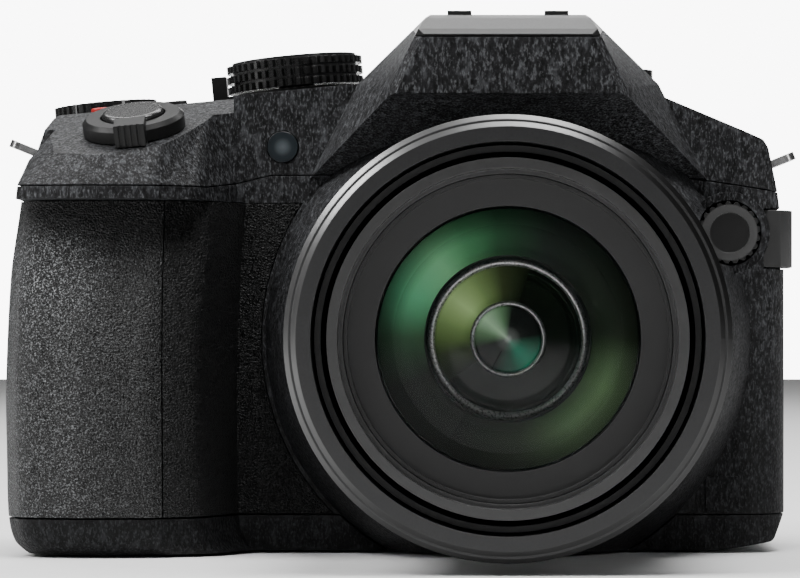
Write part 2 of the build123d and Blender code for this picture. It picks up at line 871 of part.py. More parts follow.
# Base cover with the tripod pad and the battery opening
feet_places = [(-66.0, -28.4), (30.0, -13.2), (-66.0, 17.0), (32.0, 17.0)]
screw_places = [(-46.0, -11.0), (-46.0, 16.0), (31.0, -5.0), (31.0, 9.0)]
hinge_bottom = foot_height + door_knuckle
battery_hinge_x = -bay_right + door_margin
door_slack = door_margin + seam
door_span = bay_front + bay_back + 2 * door_margin
battery_pin_line = Plane(origin=(battery_hinge_x, -bay_front - door_margin, hinge_bottom), x_dir=(1, 0, 0),
                         z_dir=(0, 1, 0))
with BuildPart() as base_cover:
    add(shell.part)
    box((-3 * overrun, -3 * overrun, 0), (3 * overrun, 3 * overrun, base_seam - seam / 2),
        mode=Mode.INTERSECT)
    add(collar_ring(seam), mode=Mode.SUBTRACT)
    disc(Plane.XY, tripod_pad_radius, 0, wall)
    disc(Plane.XY, bush_boss_radius, 0, wall + bush_boss_height)
    disc(Plane.XY, bush_radius + slip, -cut_depth, overrun, mode=Mode.SUBTRACT)
    for x, y in screw_places:
        place = Plane(origin=(x, y, foot_height))
        disc(place, boss_radius, 0, wall + bush_boss_height)
        disc(place, screw_radius + slip, -cut_depth, overrun, mode=Mode.SUBTRACT)
        disc(place, screw_head_radius + slip, -cut_depth, screw_head_height + slip, mode=Mode.SUBTRACT)
    for x, y in feet_places:
        disc(Plane(origin=(x, y, foot_height)), foot_radius + slip, -cut_depth, foot_sink,
             mode=Mode.SUBTRACT)
    pin_slack = door_pin_end + door_slack
    disc(battery_pin_line, door_pin_radius + slip / 2, -pin_slack, door_span + pin_slack,
         mode=Mode.SUBTRACT)
    box((-bay_left - door_margin - seam, -bay_front - door_margin - seam, -cut_depth),
        (battery_hinge_x + door_knuckle + seam, bay_back + door_margin + seam, 2 * base_seam),
        mode=Mode.SUBTRACT)
base_cover.part.label = "base_cover"


# Top cover with the hump
shoe_under = shoe_floor - shoe_sheet
flash_line = Plane(origin=(0, flash_hinge_back, flash_hinge_height), x_dir=(0, 1, 0), z_dir=(1, 0, 0))


def flash_knuckle_space(side, margin):
    """Space of one hinge knuckle of the hump behind the flash lid, grown by margin."""
    radius = lid_thickness / 2
    start = side * flash_knuckle_place - flash_knuckle_width / 2 - margin
    end = start + flash_knuckle_width + 2 * margin
    with BuildPart() as space:
        disc(flash_line, radius + margin, start, end)
        box((start, flash_hinge_back, flash_hinge_height - radius - margin),
            (end, flash_hinge_back + 2 * radius, flash_hinge_height + radius + margin))
    return space.part


def hump_underside(y):
    """Height of the sloping underside of the hump at y."""
    front, front_foot = hump_stations[0][0], hump_stations[0][3][1]
    back, back_foot = hump_stations[2][0], hump_stations[2][3][1]
    return back_foot + (-y - back) * (front_foot - back_foot) / (front - back)


def strap_lug(side, tip, margin):
    """A thin metal loop that rises outwards from the case, grown by margin."""
    rise = radians(lug_rise)
    place = Plane(origin=(tip[0], lug_y, tip[1]), x_dir=(side * cos(rise), 0, sin(rise)),
                  z_dir=(-side * sin(rise), 0, cos(rise)))
    with BuildPart() as lug:
        with BuildSketch(place.offset(-lug_thickness / 2 - margin)):
            with Locations((-lug_length / 2, 0)):
                RectangleRounded(lug_length + 2 * margin, lug_width + 2 * margin, lug_slot_width)
            if not margin:
                with Locations((-lug_edge - lug_slot_width / 2, 0)):
                    RectangleRounded(lug_slot_width, lug_slot_length, lug_slot_width / 3, mode=Mode.SUBTRACT)
        extrude(amount=lug_thickness + 2 * margin)
    return lug.part


with BuildPart() as top_cover:
    add(shell.part)
    add(seam_space(seam / 2, 0, 3 * overrun, 3 * overrun, True), mode=Mode.INTERSECT)
    add(collar_ring(seam), mode=Mode.SUBTRACT)
    add(lid_space(seam), mode=Mode.SUBTRACT)
    box((-shoe_half_width - shoe_pad, shoe_front - seam, shoe_under - shoe_pad),
        (shoe_half_width + shoe_pad, hump_back - hump_wall, hump_top - hump_wall))
    box((-shoe_half_width - slip, shoe_front - slip, shoe_under),
        (shoe_half_width + slip, overrun, 3 * overrun), mode=Mode.SUBTRACT)
    with BuildSketch(Plane.YZ.offset(-lamp_half_width - gap)):
        opening_back = lid_opening_gap - lamp_back
        outline([(-lid_opening_front, hump_underside(-lid_opening_front) + hump_wall + gap),
                 (opening_back, hump_underside(opening_back) + hump_wall + gap),
                 (opening_back, 3 * overrun), (-lid_opening_front, 3 * overrun)])
    extrude(amount=2 * lamp_half_width + 2 * gap, mode=Mode.SUBTRACT)
    for side in (-1, 1):
        add(flash_knuckle_space(side, 0))
    disc(flash_line, flash_pin_radius + slip / 2, -flash_pin_end, flash_pin_end, mode=Mode.SUBTRACT)
    for place in board_places:
        disc(place, post_radius, -top_board_drop, -wall)
    wall_hole(mode_dial_place, lever_hub_radius)
    wall_hole(rear_dial_place, rear_dial_shaft)
    wall_hole(record_place, record_radius)
    wall_hole(shutter_place, zoom_lever_hub)
    wall_hole(lock_place, lever_hub_radius)
    wall_hole(finder_button_place, finder_button_radius)
    disc(lamp_place, lamp_radius + slip, -2 * wall, cut_depth, mode=Mode.SUBTRACT)
    with BuildSketch(function_place.offset(cut_depth)):
        SlotOverall(function_length + 2 * gap, function_width + 2 * gap)
    extrude(amount=-2 * wall - cut_depth, mode=Mode.SUBTRACT)
    block(finder_place, finder_width, finder_height, -2 * hump_wall, cut_depth, mode=Mode.SUBTRACT)
    disc(dioptre_place, dioptre_radius + gap, -gap, dioptre_height + gap, mode=Mode.SUBTRACT)
    add(strap_lug(-1, grip_lug_tip, slip), mode=Mode.SUBTRACT)
    add(strap_lug(1, lens_lug_tip, slip), mode=Mode.SUBTRACT)
top_cover.part.label = "top_cover"

with BuildPart() as strap_lugs:
    add(strap_lug(-1, grip_lug_tip, 0))
    add(strap_lug(1, lens_lug_tip, 0))
strap_lugs.part.label = "strap_lugs"

# Lens: fixed barrel, bezel, turning cam tube and sliding zoom barrel
with BuildPart() as lens_barrel:
    turned([(barrel_radius - barrel_wall, -barrel_front), (barrel_radius, -barrel_front),
            (barrel_radius, -chassis_front), (barrel_radius - barrel_wall, -chassis_front)])
lens_barrel.part.label = "lens_barrel"

face_edge = bezel_bore + bezel_face_width
with BuildPart() as lens_bezel:
    turned([(bezel_bore, -lens_front), (face_edge, -lens_front),
            (face_edge + band_drop, band_drop - lens_front),
            (bezel_radius - band_drop, band_drop - lens_front), (bezel_radius, 2 * band_drop - lens_front),
            (bezel_radius, bezel_length - lens_front), (barrel_radius + slip, bezel_length - lens_front),
            (barrel_radius + slip, -barrel_front - slip), (bezel_bore, -barrel_front - slip)])
lens_bezel.part.label = "lens_bezel"

cam_outer = barrel_radius - barrel_wall - gap
with BuildPart() as cam_tube:
    turned([(cam_radius - cam_wall, -cam_front), (cam_radius, -cam_front),
            (cam_radius, -cam_back - cam_flange_length), (cam_outer, -cam_back - cam_flange_length),
            (cam_outer, -cam_back), (cam_radius - cam_wall, -cam_back)])
cam_tube.part.label = "cam_tube"

zoom_front = zoom_setback - lens_front
zoom_back = zoom_front + zoom_length
zoom_bore = zoom_radius - zoom_wall
zoom_foot = cam_radius - cam_wall - gap
ring_front = zoom_front + thread_depth
ring_back = ring_front + name_ring_length
ring_seat = thread_radius - thread_step
glass_front = ring_front + name_ring_depth + glass_setback
glass_back = glass_front + glass_edge
web_back = glass_back + glass_seat
baffle_root = glass_radius - glass_seat
with BuildPart() as zoom_barrel:
    turned([(thread_radius, zoom_front), (zoom_radius, zoom_front),
            (zoom_radius, zoom_back - zoom_foot_length), (zoom_foot, zoom_back - zoom_foot_length),
            (zoom_foot, zoom_back), (zoom_bore, zoom_back), (zoom_bore, web_back),
            (baffle_root + baffle_wall, web_back),
            (baffle_radius + baffle_wall, web_back + baffle_length),
            (baffle_radius, web_back + baffle_length),
            (baffle_root, web_back), (baffle_root, glass_back), (glass_radius + slip, glass_back),
            (glass_radius + slip, ring_back), (ring_seat, ring_back), (ring_seat, ring_front),
            (thread_radius, ring_front)])
zoom_barrel.part.label = "zoom_barrel"

with BuildPart() as name_ring:
    turned([(ring_seat - slip, ring_front), (ring_seat - slip, ring_back), (glass_radius + slip, ring_back),
            (glass_radius + slip, ring_front + name_ring_depth + name_ring_slope),
            (ring_seat - name_ring_lip, ring_front + name_ring_depth),
            (ring_seat - name_ring_lip, ring_front)])
name_ring.part.label = "name_ring"

with BuildPart() as front_element:
    lens_glass(glass_radius, glass_front, glass_edge, glass_bulge, -glass_hollow)
front_element.part.label = "front_element"

# Lens groups behind the front glass
group_bore = group_radius + slip
group_glass_front = group_glass_setback - group_front
group_seat = group_glass_front + group_edge + slip
foot_front = group_seat + group_foot_wall
foot_outer = zoom_bore - gap
foot_inner = foot_outer - group_foot_wall
tube_outer = group_bore + group_rim
tube_back = group_tube - group_front
with BuildPart() as zoom_group_holder:
    turned([(group_bore, -group_front), (tube_outer, -group_front), (tube_outer, foot_front),
            (foot_outer, foot_front), (foot_outer, foot_front + group_foot),
            (foot_inner, foot_front + group_foot), (foot_inner, foot_front + group_web),
            (tube_outer, foot_front + group_web), (tube_outer, tube_back),
            (group_bore - group_shoulder, tube_back), (group_bore - group_shoulder, group_seat),
            (group_bore, group_seat)])
zoom_group_holder.part.label = "zoom_group_holder"

with BuildPart() as zoom_group_lens:
    lens_glass(group_radius, group_glass_front, group_edge, group_bulge, 0.5 * group_bulge)
zoom_group_lens.part.label = "zoom_group_lens"

tube_bore = chassis_tube_radius - chassis_tube_wall
with BuildPart() as iris_unit:
    turned([(iris_radius, -iris_front - iris_rim_length),
            (iris_radius + iris_rim, -iris_front - iris_rim_length),
            (iris_radius + iris_rim, -iris_front), (tube_bore - slip, -iris_front),
            (tube_bore - slip, iris_thickness - iris_front), (iris_radius, iris_thickness - iris_front)])
iris_unit.part.label = "iris_unit"

with BuildPart() as rear_group_lens:
    lens_glass(rear_glass_radius, -rear_glass_front, rear_glass_length, rear_glass_bulge, rear_glass_bulge)
rear_group_lens.part.label = "rear_group_lens"

# Chassis with the tube that carries the iris and the rear group
chassis_back = chassis_thickness - chassis_front
sensor_posts = [(side * (sensor_board_width / 2 - post_radius), up * (sensor_board_height / 2 - post_radius))
                for side in (-1, 1) for up in (-1, 1)]
with BuildPart() as chassis:
    box((-chassis_left, -chassis_front, chassis_bottom), (chassis_right, chassis_back, chassis_top))
    turned([(tube_bore, -iris_front), (chassis_tube_radius, -iris_front),
            (chassis_tube_radius, -chassis_front), (tube_bore, -chassis_front)])
    turned([(rear_glass_radius + slip, slip - rear_glass_front), (tube_bore, slip - rear_glass_front),
            (tube_bore, rear_glass_length - slip - rear_glass_front),
            (rear_glass_radius + slip, rear_glass_length - slip - rear_glass_front)])
    with Locations((0, -chassis_front, axis_height)):
        Box(sensor_width + sensor_window, 2 * chassis_thickness, sensor_height + sensor_window,
            align=(Align.CENTER, Align.MIN, Align.CENTER), mode=Mode.SUBTRACT)
    for x, z in sensor_posts:
        disc(lens_plane.shift_origin(lens_plane.from_local_coords((x, z, 0))), post_radius,
             -chassis_back - sensor_post, -chassis_back)
    disc(on_front(motor_x, motor_z), motor_shaft + gap, chassis_back - case_front - cut_depth, overrun,
         mode=Mode.SUBTRACT)
chassis.part.label = "chassis"

board_front = chassis_back + sensor_post
with BuildPart() as sensor_board:
    with Locations((0, board_front, axis_height)):
        Box(sensor_board_width, board_thickness, sensor_board_height,
            align=(Align.CENTER, Align.MIN, Align.CENTER))
        Box(sensor_width, sensor_thickness, sensor_height, align=(Align.CENTER, Align.MAX, Align.CENTER))
sensor_board.part.label = "sensor_board"

with BuildPart() as main_board:
    box((-main_board_left, main_board_front, main_board_bottom),
        (main_board_right, main_board_front + board_thickness, main_board_top))
    with GridLocations(2 * chip_size, 2 * chip_size, 2, 1):
        with Locations((0, main_board_front, axis_height)):
            Box(chip_size, chip_thickness, chip_size, align=(Align.CENTER, Align.MAX, Align.CENTER))
main_board.part.label = "main_board"

with BuildPart() as zoom_motor:
    place = Plane(origin=(motor_x, chassis_back, motor_z), x_dir=(1, 0, 0), z_dir=(0, 1, 0))
    disc(place, motor_radius, 0, motor_length)
    disc(place, motor_shaft, -chassis_thickness - motor_shaft_length, 0)
zoom_motor.part.label = "zoom_motor"

# Battery with its bay, card, door and latch
door_top = foot_height + door_thickness
card_right = -bay_right + card_thickness + battery_gap
with BuildPart() as battery_bay:
    box((-bay_left, -bay_front, bay_bottom), (-bay_right, bay_back, bay_top))
    box((bay_wall - bay_left, bay_wall - bay_front, 0),
        (-bay_right - bay_wall, bay_back - bay_wall, bay_top - bay_wall), mode=Mode.SUBTRACT)
    card_middle = (bay_back - bay_front) / 2
    for side in (-1, 1):
        edge = card_middle + side * (card_width / 2 + battery_gap)
        lug_start = min(edge, edge + side * bay_wall)
        box((-bay_right, lug_start, bay_bottom + card_lift),
            (card_right + slip, lug_start + bay_wall, bay_bottom + card_lift + card_height))
    box((-bay_right, card_middle - card_width / 2, bay_bottom + card_lift - bay_wall),
        (card_right + slip, card_middle + card_width / 2, bay_bottom + card_lift))
battery_bay.part.label = "battery_bay"

with BuildPart() as battery:
    battery_inset = bay_wall + battery_gap
    box((battery_inset - bay_left, battery_inset - bay_front, door_top + gap),
        (-bay_right - battery_inset, bay_back - battery_inset, bay_top - battery_inset))
    fillet(edges().filter_by(Axis.Z), battery_lift)
battery.part.label = "battery"

with BuildPart() as memory_card:
    box((slip - bay_right, card_middle - card_width / 2, bay_bottom + card_lift + battery_gap),
        (slip - bay_right + card_thickness, card_middle + card_width / 2,
         bay_bottom + card_lift + card_height))
    corner = edges().filter_by(Axis.X).group_by(Axis.Z)[-1].sort_by(Axis.Y)[-1]
    chamfer(corner, card_thickness)
memory_card.part.label = "memory_card"

latch_left = latch_inset - bay_left - door_margin
with BuildPart() as battery_door:
    box((-bay_left - door_margin, -bay_front - door_margin, foot_height),
        (battery_hinge_x, bay_back + door_margin, door_top))
    disc(battery_pin_line, door_knuckle, 0, door_span)
    disc(battery_pin_line, door_pin_radius + pin_fit, -cut_depth, door_span + cut_depth, mode=Mode.SUBTRACT)
    box((latch_left - slip, latch_y - latch_width / 2 - slip, 0),
        (latch_left + latch_length + latch_travel + gap, latch_y + latch_width / 2 + slip,
         foot_height + latch_depth + slip), mode=Mode.SUBTRACT)
battery_door.part.label = "battery_door"

with BuildPart() as battery_door_latch:
    box((latch_left, latch_y - latch_width / 2, foot_height),
        (latch_left + latch_length, latch_y + latch_width / 2, foot_height + latch_depth))
    with Locations((latch_left + latch_length / 2, latch_y, foot_height)):
        with GridLocations(latch_length / 4, 0, 3, 1):
            Box(latch_length / 10, latch_width, latch_depth / 2, mode=Mode.SUBTRACT)
battery_door_latch.part.label = "battery_door_latch"

# Flash head: lid, lamp housing that faces forwards once it stands up, and its window
lid_low = flash_hinge_height - lid_thickness / 2
lid_front_low = hump_stations[0][1][1] - lid_lip
lid_rise = (lid_low - lid_front_low) / (hump_front + cut_depth + flash_hinge_back)


def lid_middle(y):
    """Height inside the lid's sheet at y."""
    return lid_low + (y - flash_hinge_back) * lid_rise + lid_lip


with BuildPart() as flash_head:
    add(hump_solid)
    add(lid_space(0), mode=Mode.INTERSECT)
    with BuildSketch(Plane.YZ.offset(-lamp_half_width)):
        outline([(-lamp_front, lid_middle(-lamp_front)), (-lamp_tip, lamp_bottom), (-lamp_back, lamp_bottom),
                 (-lamp_back, lid_middle(-lamp_back))])
    extrude(amount=2 * lamp_half_width)
    for side in (-1, 1):
        add(flash_knuckle_space(side, gap), mode=Mode.SUBTRACT)
    disc(flash_line, flash_pin_radius + pin_fit, -flash_pin_end - gap, flash_pin_end + gap,
         mode=Mode.SUBTRACT)
    window_edge = Vector(0, lamp_front - lamp_tip, lamp_bottom - lid_middle(-lamp_front))
    window_middle = Vector(0, -(lamp_front + lamp_tip) / 2, (lamp_bottom + lid_middle(-lamp_front)) / 2)
    window_place = Plane(origin=window_middle, x_dir=(1, 0, 0), z_dir=Vector(1, 0, 0).cross(window_edge))
    window_width = 2 * (lamp_half_width - flash_window_margin)
    window_height = window_edge.length - 2 * flash_window_margin - lid_thickness
    block(window_place, window_width, window_height, -flash_window_thickness, cut_depth, mode=Mode.SUBTRACT)
flash_head.part.label = "flash_head"

with BuildPart() as flash_window:
    block(window_place, window_width - 2 * slip, window_height - 2 * slip, -flash_window_thickness, 0)
flash_window.part.label = "flash_window"

# Steel pins of the flash head, the battery door and the monitor
with BuildPart() as hinge_pins:
    disc(flash_line, flash_pin_radius, -flash_pin_end, flash_pin_end)
    disc(battery_pin_line, door_pin_radius, -door_pin_end, door_span + door_pin_end)
    monitor_line = Plane(origin=(hinge_x, hinge_y, 0))
    disc(monitor_line, hinge_pin_radius, monitor_bottom, monitor_bottom + hinge_lug_height + hinge_pin_reach)
    disc(monitor_line, hinge_pin_radius, monitor_lug_top - hinge_pin_reach, monitor_top)
hinge_pins.part.label = "hinge_pins"

# Accessory shoe
with BuildPart() as hot_shoe:
    box((-shoe_half_width, shoe_front, shoe_under), (shoe_half_width, shoe_front + shoe_length,
                                                     shoe_floor + shoe_slot_height + shoe_sheet))
    box((shoe_wall - shoe_half_width, -overrun, shoe_floor),
        (shoe_half_width - shoe_wall, overrun, shoe_floor + shoe_slot_height), mode=Mode.SUBTRACT)
    box((-shoe_lip_half_gap, -overrun, shoe_floor), (shoe_lip_half_gap, overrun, 3 * overrun),
        mode=Mode.SUBTRACT)
hot_shoe.part.label = "hot_shoe"

# Mode dial in ribbed tiers, over the ring of the power lever
with BuildPart() as mode_dial:
    disc(mode_dial_place, mode_dial_radius - 2 * mode_dial_groove, mode_dial_base,
         mode_dial_base + mode_dial_height)
    tier = mode_dial_height / mode_dial_tiers
    for level in range(mode_dial_tiers):
        with BuildSketch(mode_dial_place.offset(mode_dial_base + level * tier)):
            knurl(mode_dial_radius, depth=mode_dial_knurl)
        extrude(amount=tier - mode_dial_groove)
    disc(mode_dial_place, mode_dial_radius - dial_dish_border, mode_dial_base + mode_dial_height - dial_dish,
         overrun, mode=Mode.SUBTRACT)
    disc(mode_dial_place, dial_shaft_radius, -dial_stop, mode_dial_base)
mode_dial.part.label = "mode_dial"

with BuildPart() as power_lever:
    disc(mode_dial_place, lever_ring_radius, lever_base, lever_base + lever_thickness)
    tab_root = lever_ring_radius - lever_thickness
    tab_place = mode_dial_place.shift_origin(
        mode_dial_place.from_local_coords((-(power_tab_reach + tab_root) / 2, 0, 0)))
    block(tab_place, power_tab_reach - tab_root, power_tab_width, lever_base, power_tab_height)
    disc(mode_dial_place, mode_dial_radius + gap, lever_base + lever_thickness, overrun, mode=Mode.SUBTRACT)
    disc(mode_dial_place, lever_hub_radius, -wall - seam - flange_thickness, lever_base)
    disc(mode_dial_place, lever_hub_radius + flange_width, -wall - seam - flange_thickness, -wall - seam)
    disc(mode_dial_place, dial_shaft_radius + gap, -overrun, overrun, mode=Mode.SUBTRACT)
power_lever.part.label = "power_lever"

# Zoom lever round the shutter button
with BuildPart() as zoom_lever:
    disc(shutter_place, zoom_lever_radius, lever_base, zoom_lever_height)
    rim = faces().sort_by(Axis(shutter_place.origin, shutter_place.z_dir))[-1]
    chamfer(rim.edges(), zoom_lever_chamfer)
    zoom_tab_place = shutter_place.shift_origin(
        shutter_place.from_local_coords((0, -(zoom_tab_reach + shutter_radius + 2 * gap) / 2, 0)))
    tab_length = zoom_tab_reach - shutter_radius - 2 * gap
    block(zoom_tab_place, zoom_tab_width, tab_length, lever_base, zoom_tab_height)
    rib = zoom_tab_width / (2 * zoom_tab_ribs)
    for count in range(zoom_tab_ribs - 1):
        across = (2 * count + 2) * rib - zoom_tab_width / 2
        rib_place = shutter_place.shift_origin(shutter_place.from_local_coords((across, -zoom_tab_reach, 0)))
        block(rib_place, rib, rib, -overrun, overrun, mode=Mode.SUBTRACT)
    disc(shutter_place, shutter_radius + gap, zoom_lever_floor, overrun, mode=Mode.SUBTRACT)
    disc(shutter_place, zoom_lever_hub, -wall - seam - flange_thickness, lever_base)
    disc(shutter_place, zoom_lever_hub + flange_width, -wall - seam - flange_thickness, -wall - seam)
    disc(shutter_place, shutter_stem + gap, -overrun, overrun, mode=Mode.SUBTRACT)
zoom_lever.part.label = "zoom_lever"

with BuildPart() as shutter_button:
    disc(shutter_place, shutter_radius, shutter_lift, shutter_height)
    crown = faces().sort_by(Axis(shutter_place.origin, shutter_place.z_dir))[-1]
    fillet(crown.edges(), shutter_crown)
    disc(shutter_place, shutter_stem, -shutter_depth, shutter_lift)
    disc(shutter_place, shutter_stem + flange_width, -shutter_depth, flange_thickness - shutter_depth)
shutter_button.part.label = "shutter_button"

# Push buttons
for_buttons = [("record_button", record_place, record_radius, button_proud),
               ("playback_button", playback_place, rear_button_radius, button_proud),
               ("display_button", display_place, rear_button_radius, button_proud),
               ("finder_switch_button", finder_button_place, finder_button_radius, button_proud)]
for name, place, radius, proud in for_buttons:
    with BuildPart() as push_button:
        button(place, radius, proud)
    push_button.part.label = name
    export_step(push_button.part, "parts/" + name + ".step")

with BuildPart() as top_function_button:
    with BuildSketch(function_place.offset(-wall - seam)):
        SlotOverall(function_length, function_width)
    extrude(amount=wall + seam + button_proud)
    crown = faces().sort_by(Axis(function_place.origin, function_place.z_dir))[-1]
    fillet(crown.edges(), button_crown)
    with BuildSketch(function_place.offset(-wall - seam - flange_thickness)):
        SlotOverall(function_length + 2 * flange_width, function_width + 2 * flange_width)
    extrude(amount=flange_thickness)
    disc(function_place, stem_radius, -stem_length, -wall - seam - flange_thickness)
top_function_button.part.label = "top_function_button"

with BuildPart() as rear_dial:
    with BuildSketch(rear_dial_place.offset(lever_base)):
        knurl(rear_dial_radius)
    extrude(amount=rear_dial_height)
    disc(rear_dial_place, rear_dial_radius - dial_dish_border, lever_base + rear_dial_height - dial_dish, overrun,
         mode=Mode.SUBTRACT)
    disc(rear_dial_place, rear_dial_shaft, -dial_stop, lever_base)
rear_dial.part.label = "rear_dial"

with BuildPart() as side_dial:
    with BuildSketch(side_dial_place.offset(side_dial_base)):
        knurl(side_dial_radius)
    extrude(amount=side_dial_height - side_dial_base)
    disc(side_dial_place, side_dial_cap, side_dial_height - dial_dish, overrun, mode=Mode.SUBTRACT)
    disc(side_dial_place, side_dial_shaft, -wall - flange_thickness, side_dial_base)
side_dial.part.label = "side_dial"

with BuildPart() as top_board:
    board_place = on_deck(-(top_board_left + top_board_right) / 2, (top_board_back - top_board_front) / 2)
    block(board_place, top_board_left - top_board_right, top_board_front + top_board_back,
          -top_board_drop - board_thickness, -top_board_drop)
top_board.part.label = "top_board"

with BuildPart() as af_lamp_window:
    disc(lamp_place, lamp_radius, -wall, lamp_proud)
    lens = faces().sort_by(Axis(lamp_place.origin, lamp_place.z_dir))[-1]
    fillet(lens.edges(), lamp_proud / 2)
af_lamp_window.part.label = "af_lamp_window"

# Lock button with the focus mode lever round it
with BuildPart() as focus_mode_lever:
    disc(lock_place, mode_lever_radius, lever_base, lever_base + mode_lever_thickness)
    lever_tab_place = lock_place.shift_origin(lock_place.from_local_coords((-mode_lever_tab / 2, 0, 0)))
    block(lever_tab_place, mode_lever_tab, mode_lever_tab_width, lever_base,
          lever_base + 2 * mode_lever_thickness)
    disc(lock_place, lever_hub_radius, -wall - seam - flange_thickness, lever_base)
    disc(lock_place, lever_hub_radius + flange_width, -wall - seam - flange_thickness, -wall - seam)
    disc(lock_place, lock_button_radius + gap, -overrun, overrun, mode=Mode.SUBTRACT)
focus_mode_lever.part.label = "focus_mode_lever"

lock_depth = wall + seam + flange_thickness + seam
with BuildPart() as af_lock_button:
    disc(lock_place, lock_button_radius, -lock_depth, 2 * mode_lever_thickness + lock_button_proud)
    crown = faces().sort_by(Axis(lock_place.origin, lock_place.z_dir))[-1]
    fillet(crown.edges(), button_crown)
    disc(lock_place, lock_button_radius + flange_width, -lock_depth - flange_thickness, -lock_depth)
af_lock_button.part.label = "af_lock_button"

# Cursor pad round the set button
with BuildPart() as cursor_pad:
    disc(pad_place, pad_radius, -wall - flange_thickness, button_proud)
    disc(pad_place, pad_radius + flange_width, -wall - 2 * flange_thickness, -wall - flange_thickness)
    disc(pad_place, set_radius + gap, -overrun, overrun, mode=Mode.SUBTRACT)
    edge = faces().sort_by(Axis(pad_place.origin, pad_place.z_dir))[-1]
    fillet(edge.edges(), button_crown)
cursor_pad.part.label = "cursor_pad"

pad_depth = wall + 3 * flange_thickness
with BuildPart() as menu_set_button:
    disc(pad_place, set_radius, -pad_depth, button_proud + button_crown)
    crown = faces().sort_by(Axis(pad_place.origin, pad_place.z_dir))[-1]
    fillet(crown.edges(), button_crown)
    disc(pad_place, set_radius + flange_width, -pad_depth - flange_thickness, -pad_depth)
menu_set_button.part.label = "menu_set_button"

# Finder: module, eyepiece glass, rubber eyecup and dioptre wheel
with BuildPart() as viewfinder_module:
    box((-finder_half_width, finder_front, finder_bottom),
        (finder_half_width, hump_back - hump_wall - finder_module_gap,
         shoe_under - shoe_pad - finder_module_gap))
    box((0, dioptre_y - dioptre_axle_length, dioptre_bottom - gap - dioptre_axle_length),
        (dioptre_x + dioptre_axle, dioptre_y + dioptre_axle_length, dioptre_bottom - gap))
    disc(dioptre_place, dioptre_axle + pin_fit, -overrun, 0, mode=Mode.SUBTRACT)
viewfinder_module.part.label = "viewfinder_module"

with BuildPart() as dioptre_wheel:
    with BuildSketch(dioptre_place):
        knurl(dioptre_radius)
    extrude(amount=dioptre_height)
    disc(dioptre_place, dioptre_axle, -dioptre_axle_length, 0)
dioptre_wheel.part.label = "dioptre_wheel"

with BuildPart() as eyepiece_lens:
    block(finder_place, finder_width - 2 * slip, finder_height - 2 * slip, -hump_wall,
          finder_glass - hump_wall)
eyepiece_lens.part.label = "eyepiece_lens"

eyecup_length = eyecup_back - hump_back
with BuildPart() as eyecup:
    with BuildSketch(finder_place):
        RectangleRounded(eyecup_root_width, eyecup_root_height, eyecup_corner)
    with BuildSketch(finder_place.offset(eyecup_length - eyecup_lip)):
        RectangleRounded(eyecup_width, eyecup_height, eyecup_corner)
    loft()
    with BuildSketch(finder_place.offset(eyecup_length - eyecup_lip)):
        RectangleRounded(eyecup_width, eyecup_height, eyecup_corner)
    extrude(amount=eyecup_lip)
    with BuildSketch(finder_place.offset(-cut_depth)):
        RectangleRounded(finder_width, finder_height, finder_corner)
    extrude(amount=eyecup_length + 2 * cut_depth, mode=Mode.SUBTRACT)
eyecup.part.label = "eyecup"

# Monitor: frame, screen and the block that it swings on
monitor_x = (monitor_right - monitor_left) / 2
monitor_z = (monitor_bottom + monitor_top) / 2
tilt_line = Plane(origin=(tilt_arm_left, tilt_arm_front + (tilt_arm_back - tilt_arm_front) / 2, monitor_z),
                  x_dir=(0, 1, 0), z_dir=(1, 0, 0))
screen_width = monitor_left + monitor_right - 2 * screen_margin
screen_height = monitor_top - monitor_bottom - 2 * screen_margin
with BuildPart() as monitor_frame:
    with BuildSketch(Plane.XZ.offset(-monitor_front)):
        with Locations((monitor_x, monitor_z)):
            RectangleRounded(monitor_left + monitor_right, monitor_top - monitor_bottom, monitor_corner)
    extrude(amount=monitor_front - monitor_back)
    box((monitor_x - screen_width / 2 - slip, monitor_back - screen_recess - screen_thickness,
         monitor_z - screen_height / 2 - slip),
        (monitor_x + screen_width / 2 + slip, overrun, monitor_z + screen_height / 2 + slip),
        mode=Mode.SUBTRACT)
    box((tilt_arm_left - gap, 0, monitor_z - tilt_arm_height / 2 - gap),
        (overrun * 2, overrun, monitor_z + tilt_arm_height / 2 + gap), mode=Mode.SUBTRACT)
    disc(tilt_line, tilt_shaft_radius + pin_fit, -tilt_shaft_length - gap, overrun, mode=Mode.SUBTRACT)
monitor_frame.part.label = "monitor_frame"

with BuildPart() as monitor_screen:
    box((monitor_x - screen_width / 2, monitor_back - screen_recess - screen_thickness,
         monitor_z - screen_height / 2),
        (monitor_x + screen_width / 2, monitor_back - screen_recess, monitor_z + screen_height / 2))
monitor_screen.part.label = "monitor_screen"

with BuildPart() as monitor_hinge:
    disc(monitor_line, hinge_radius, monitor_bottom + hinge_lug_height + gap, monitor_lug_top - gap)
    box((tilt_arm_left, tilt_arm_front, monitor_z - tilt_arm_height / 2),
        (hinge_x, tilt_arm_back, monitor_z + tilt_arm_height / 2))
    disc(tilt_line, tilt_shaft_radius, -tilt_shaft_length, cut_depth)
    disc(monitor_line, hinge_pin_radius + pin_fit, monitor_bottom, monitor_bottom + hinge_lug_height
         + hinge_pin_reach + gap, mode=Mode.SUBTRACT)
    disc(monitor_line, hinge_pin_radius + pin_fit, monitor_lug_top - hinge_pin_reach - gap, monitor_top,
         mode=Mode.SUBTRACT)
monitor_hinge.part.label = "monitor_hinge"

# Tripod socket, screws and feet
with BuildPart() as tripod_bush:
    disc(Plane.XY, bush_radius, 0, bush_length)
    disc(Plane.XY, bush_bore, -cut_depth, bush_depth, mode=Mode.SUBTRACT)
tripod_bush.part.label = "tripod_bush"

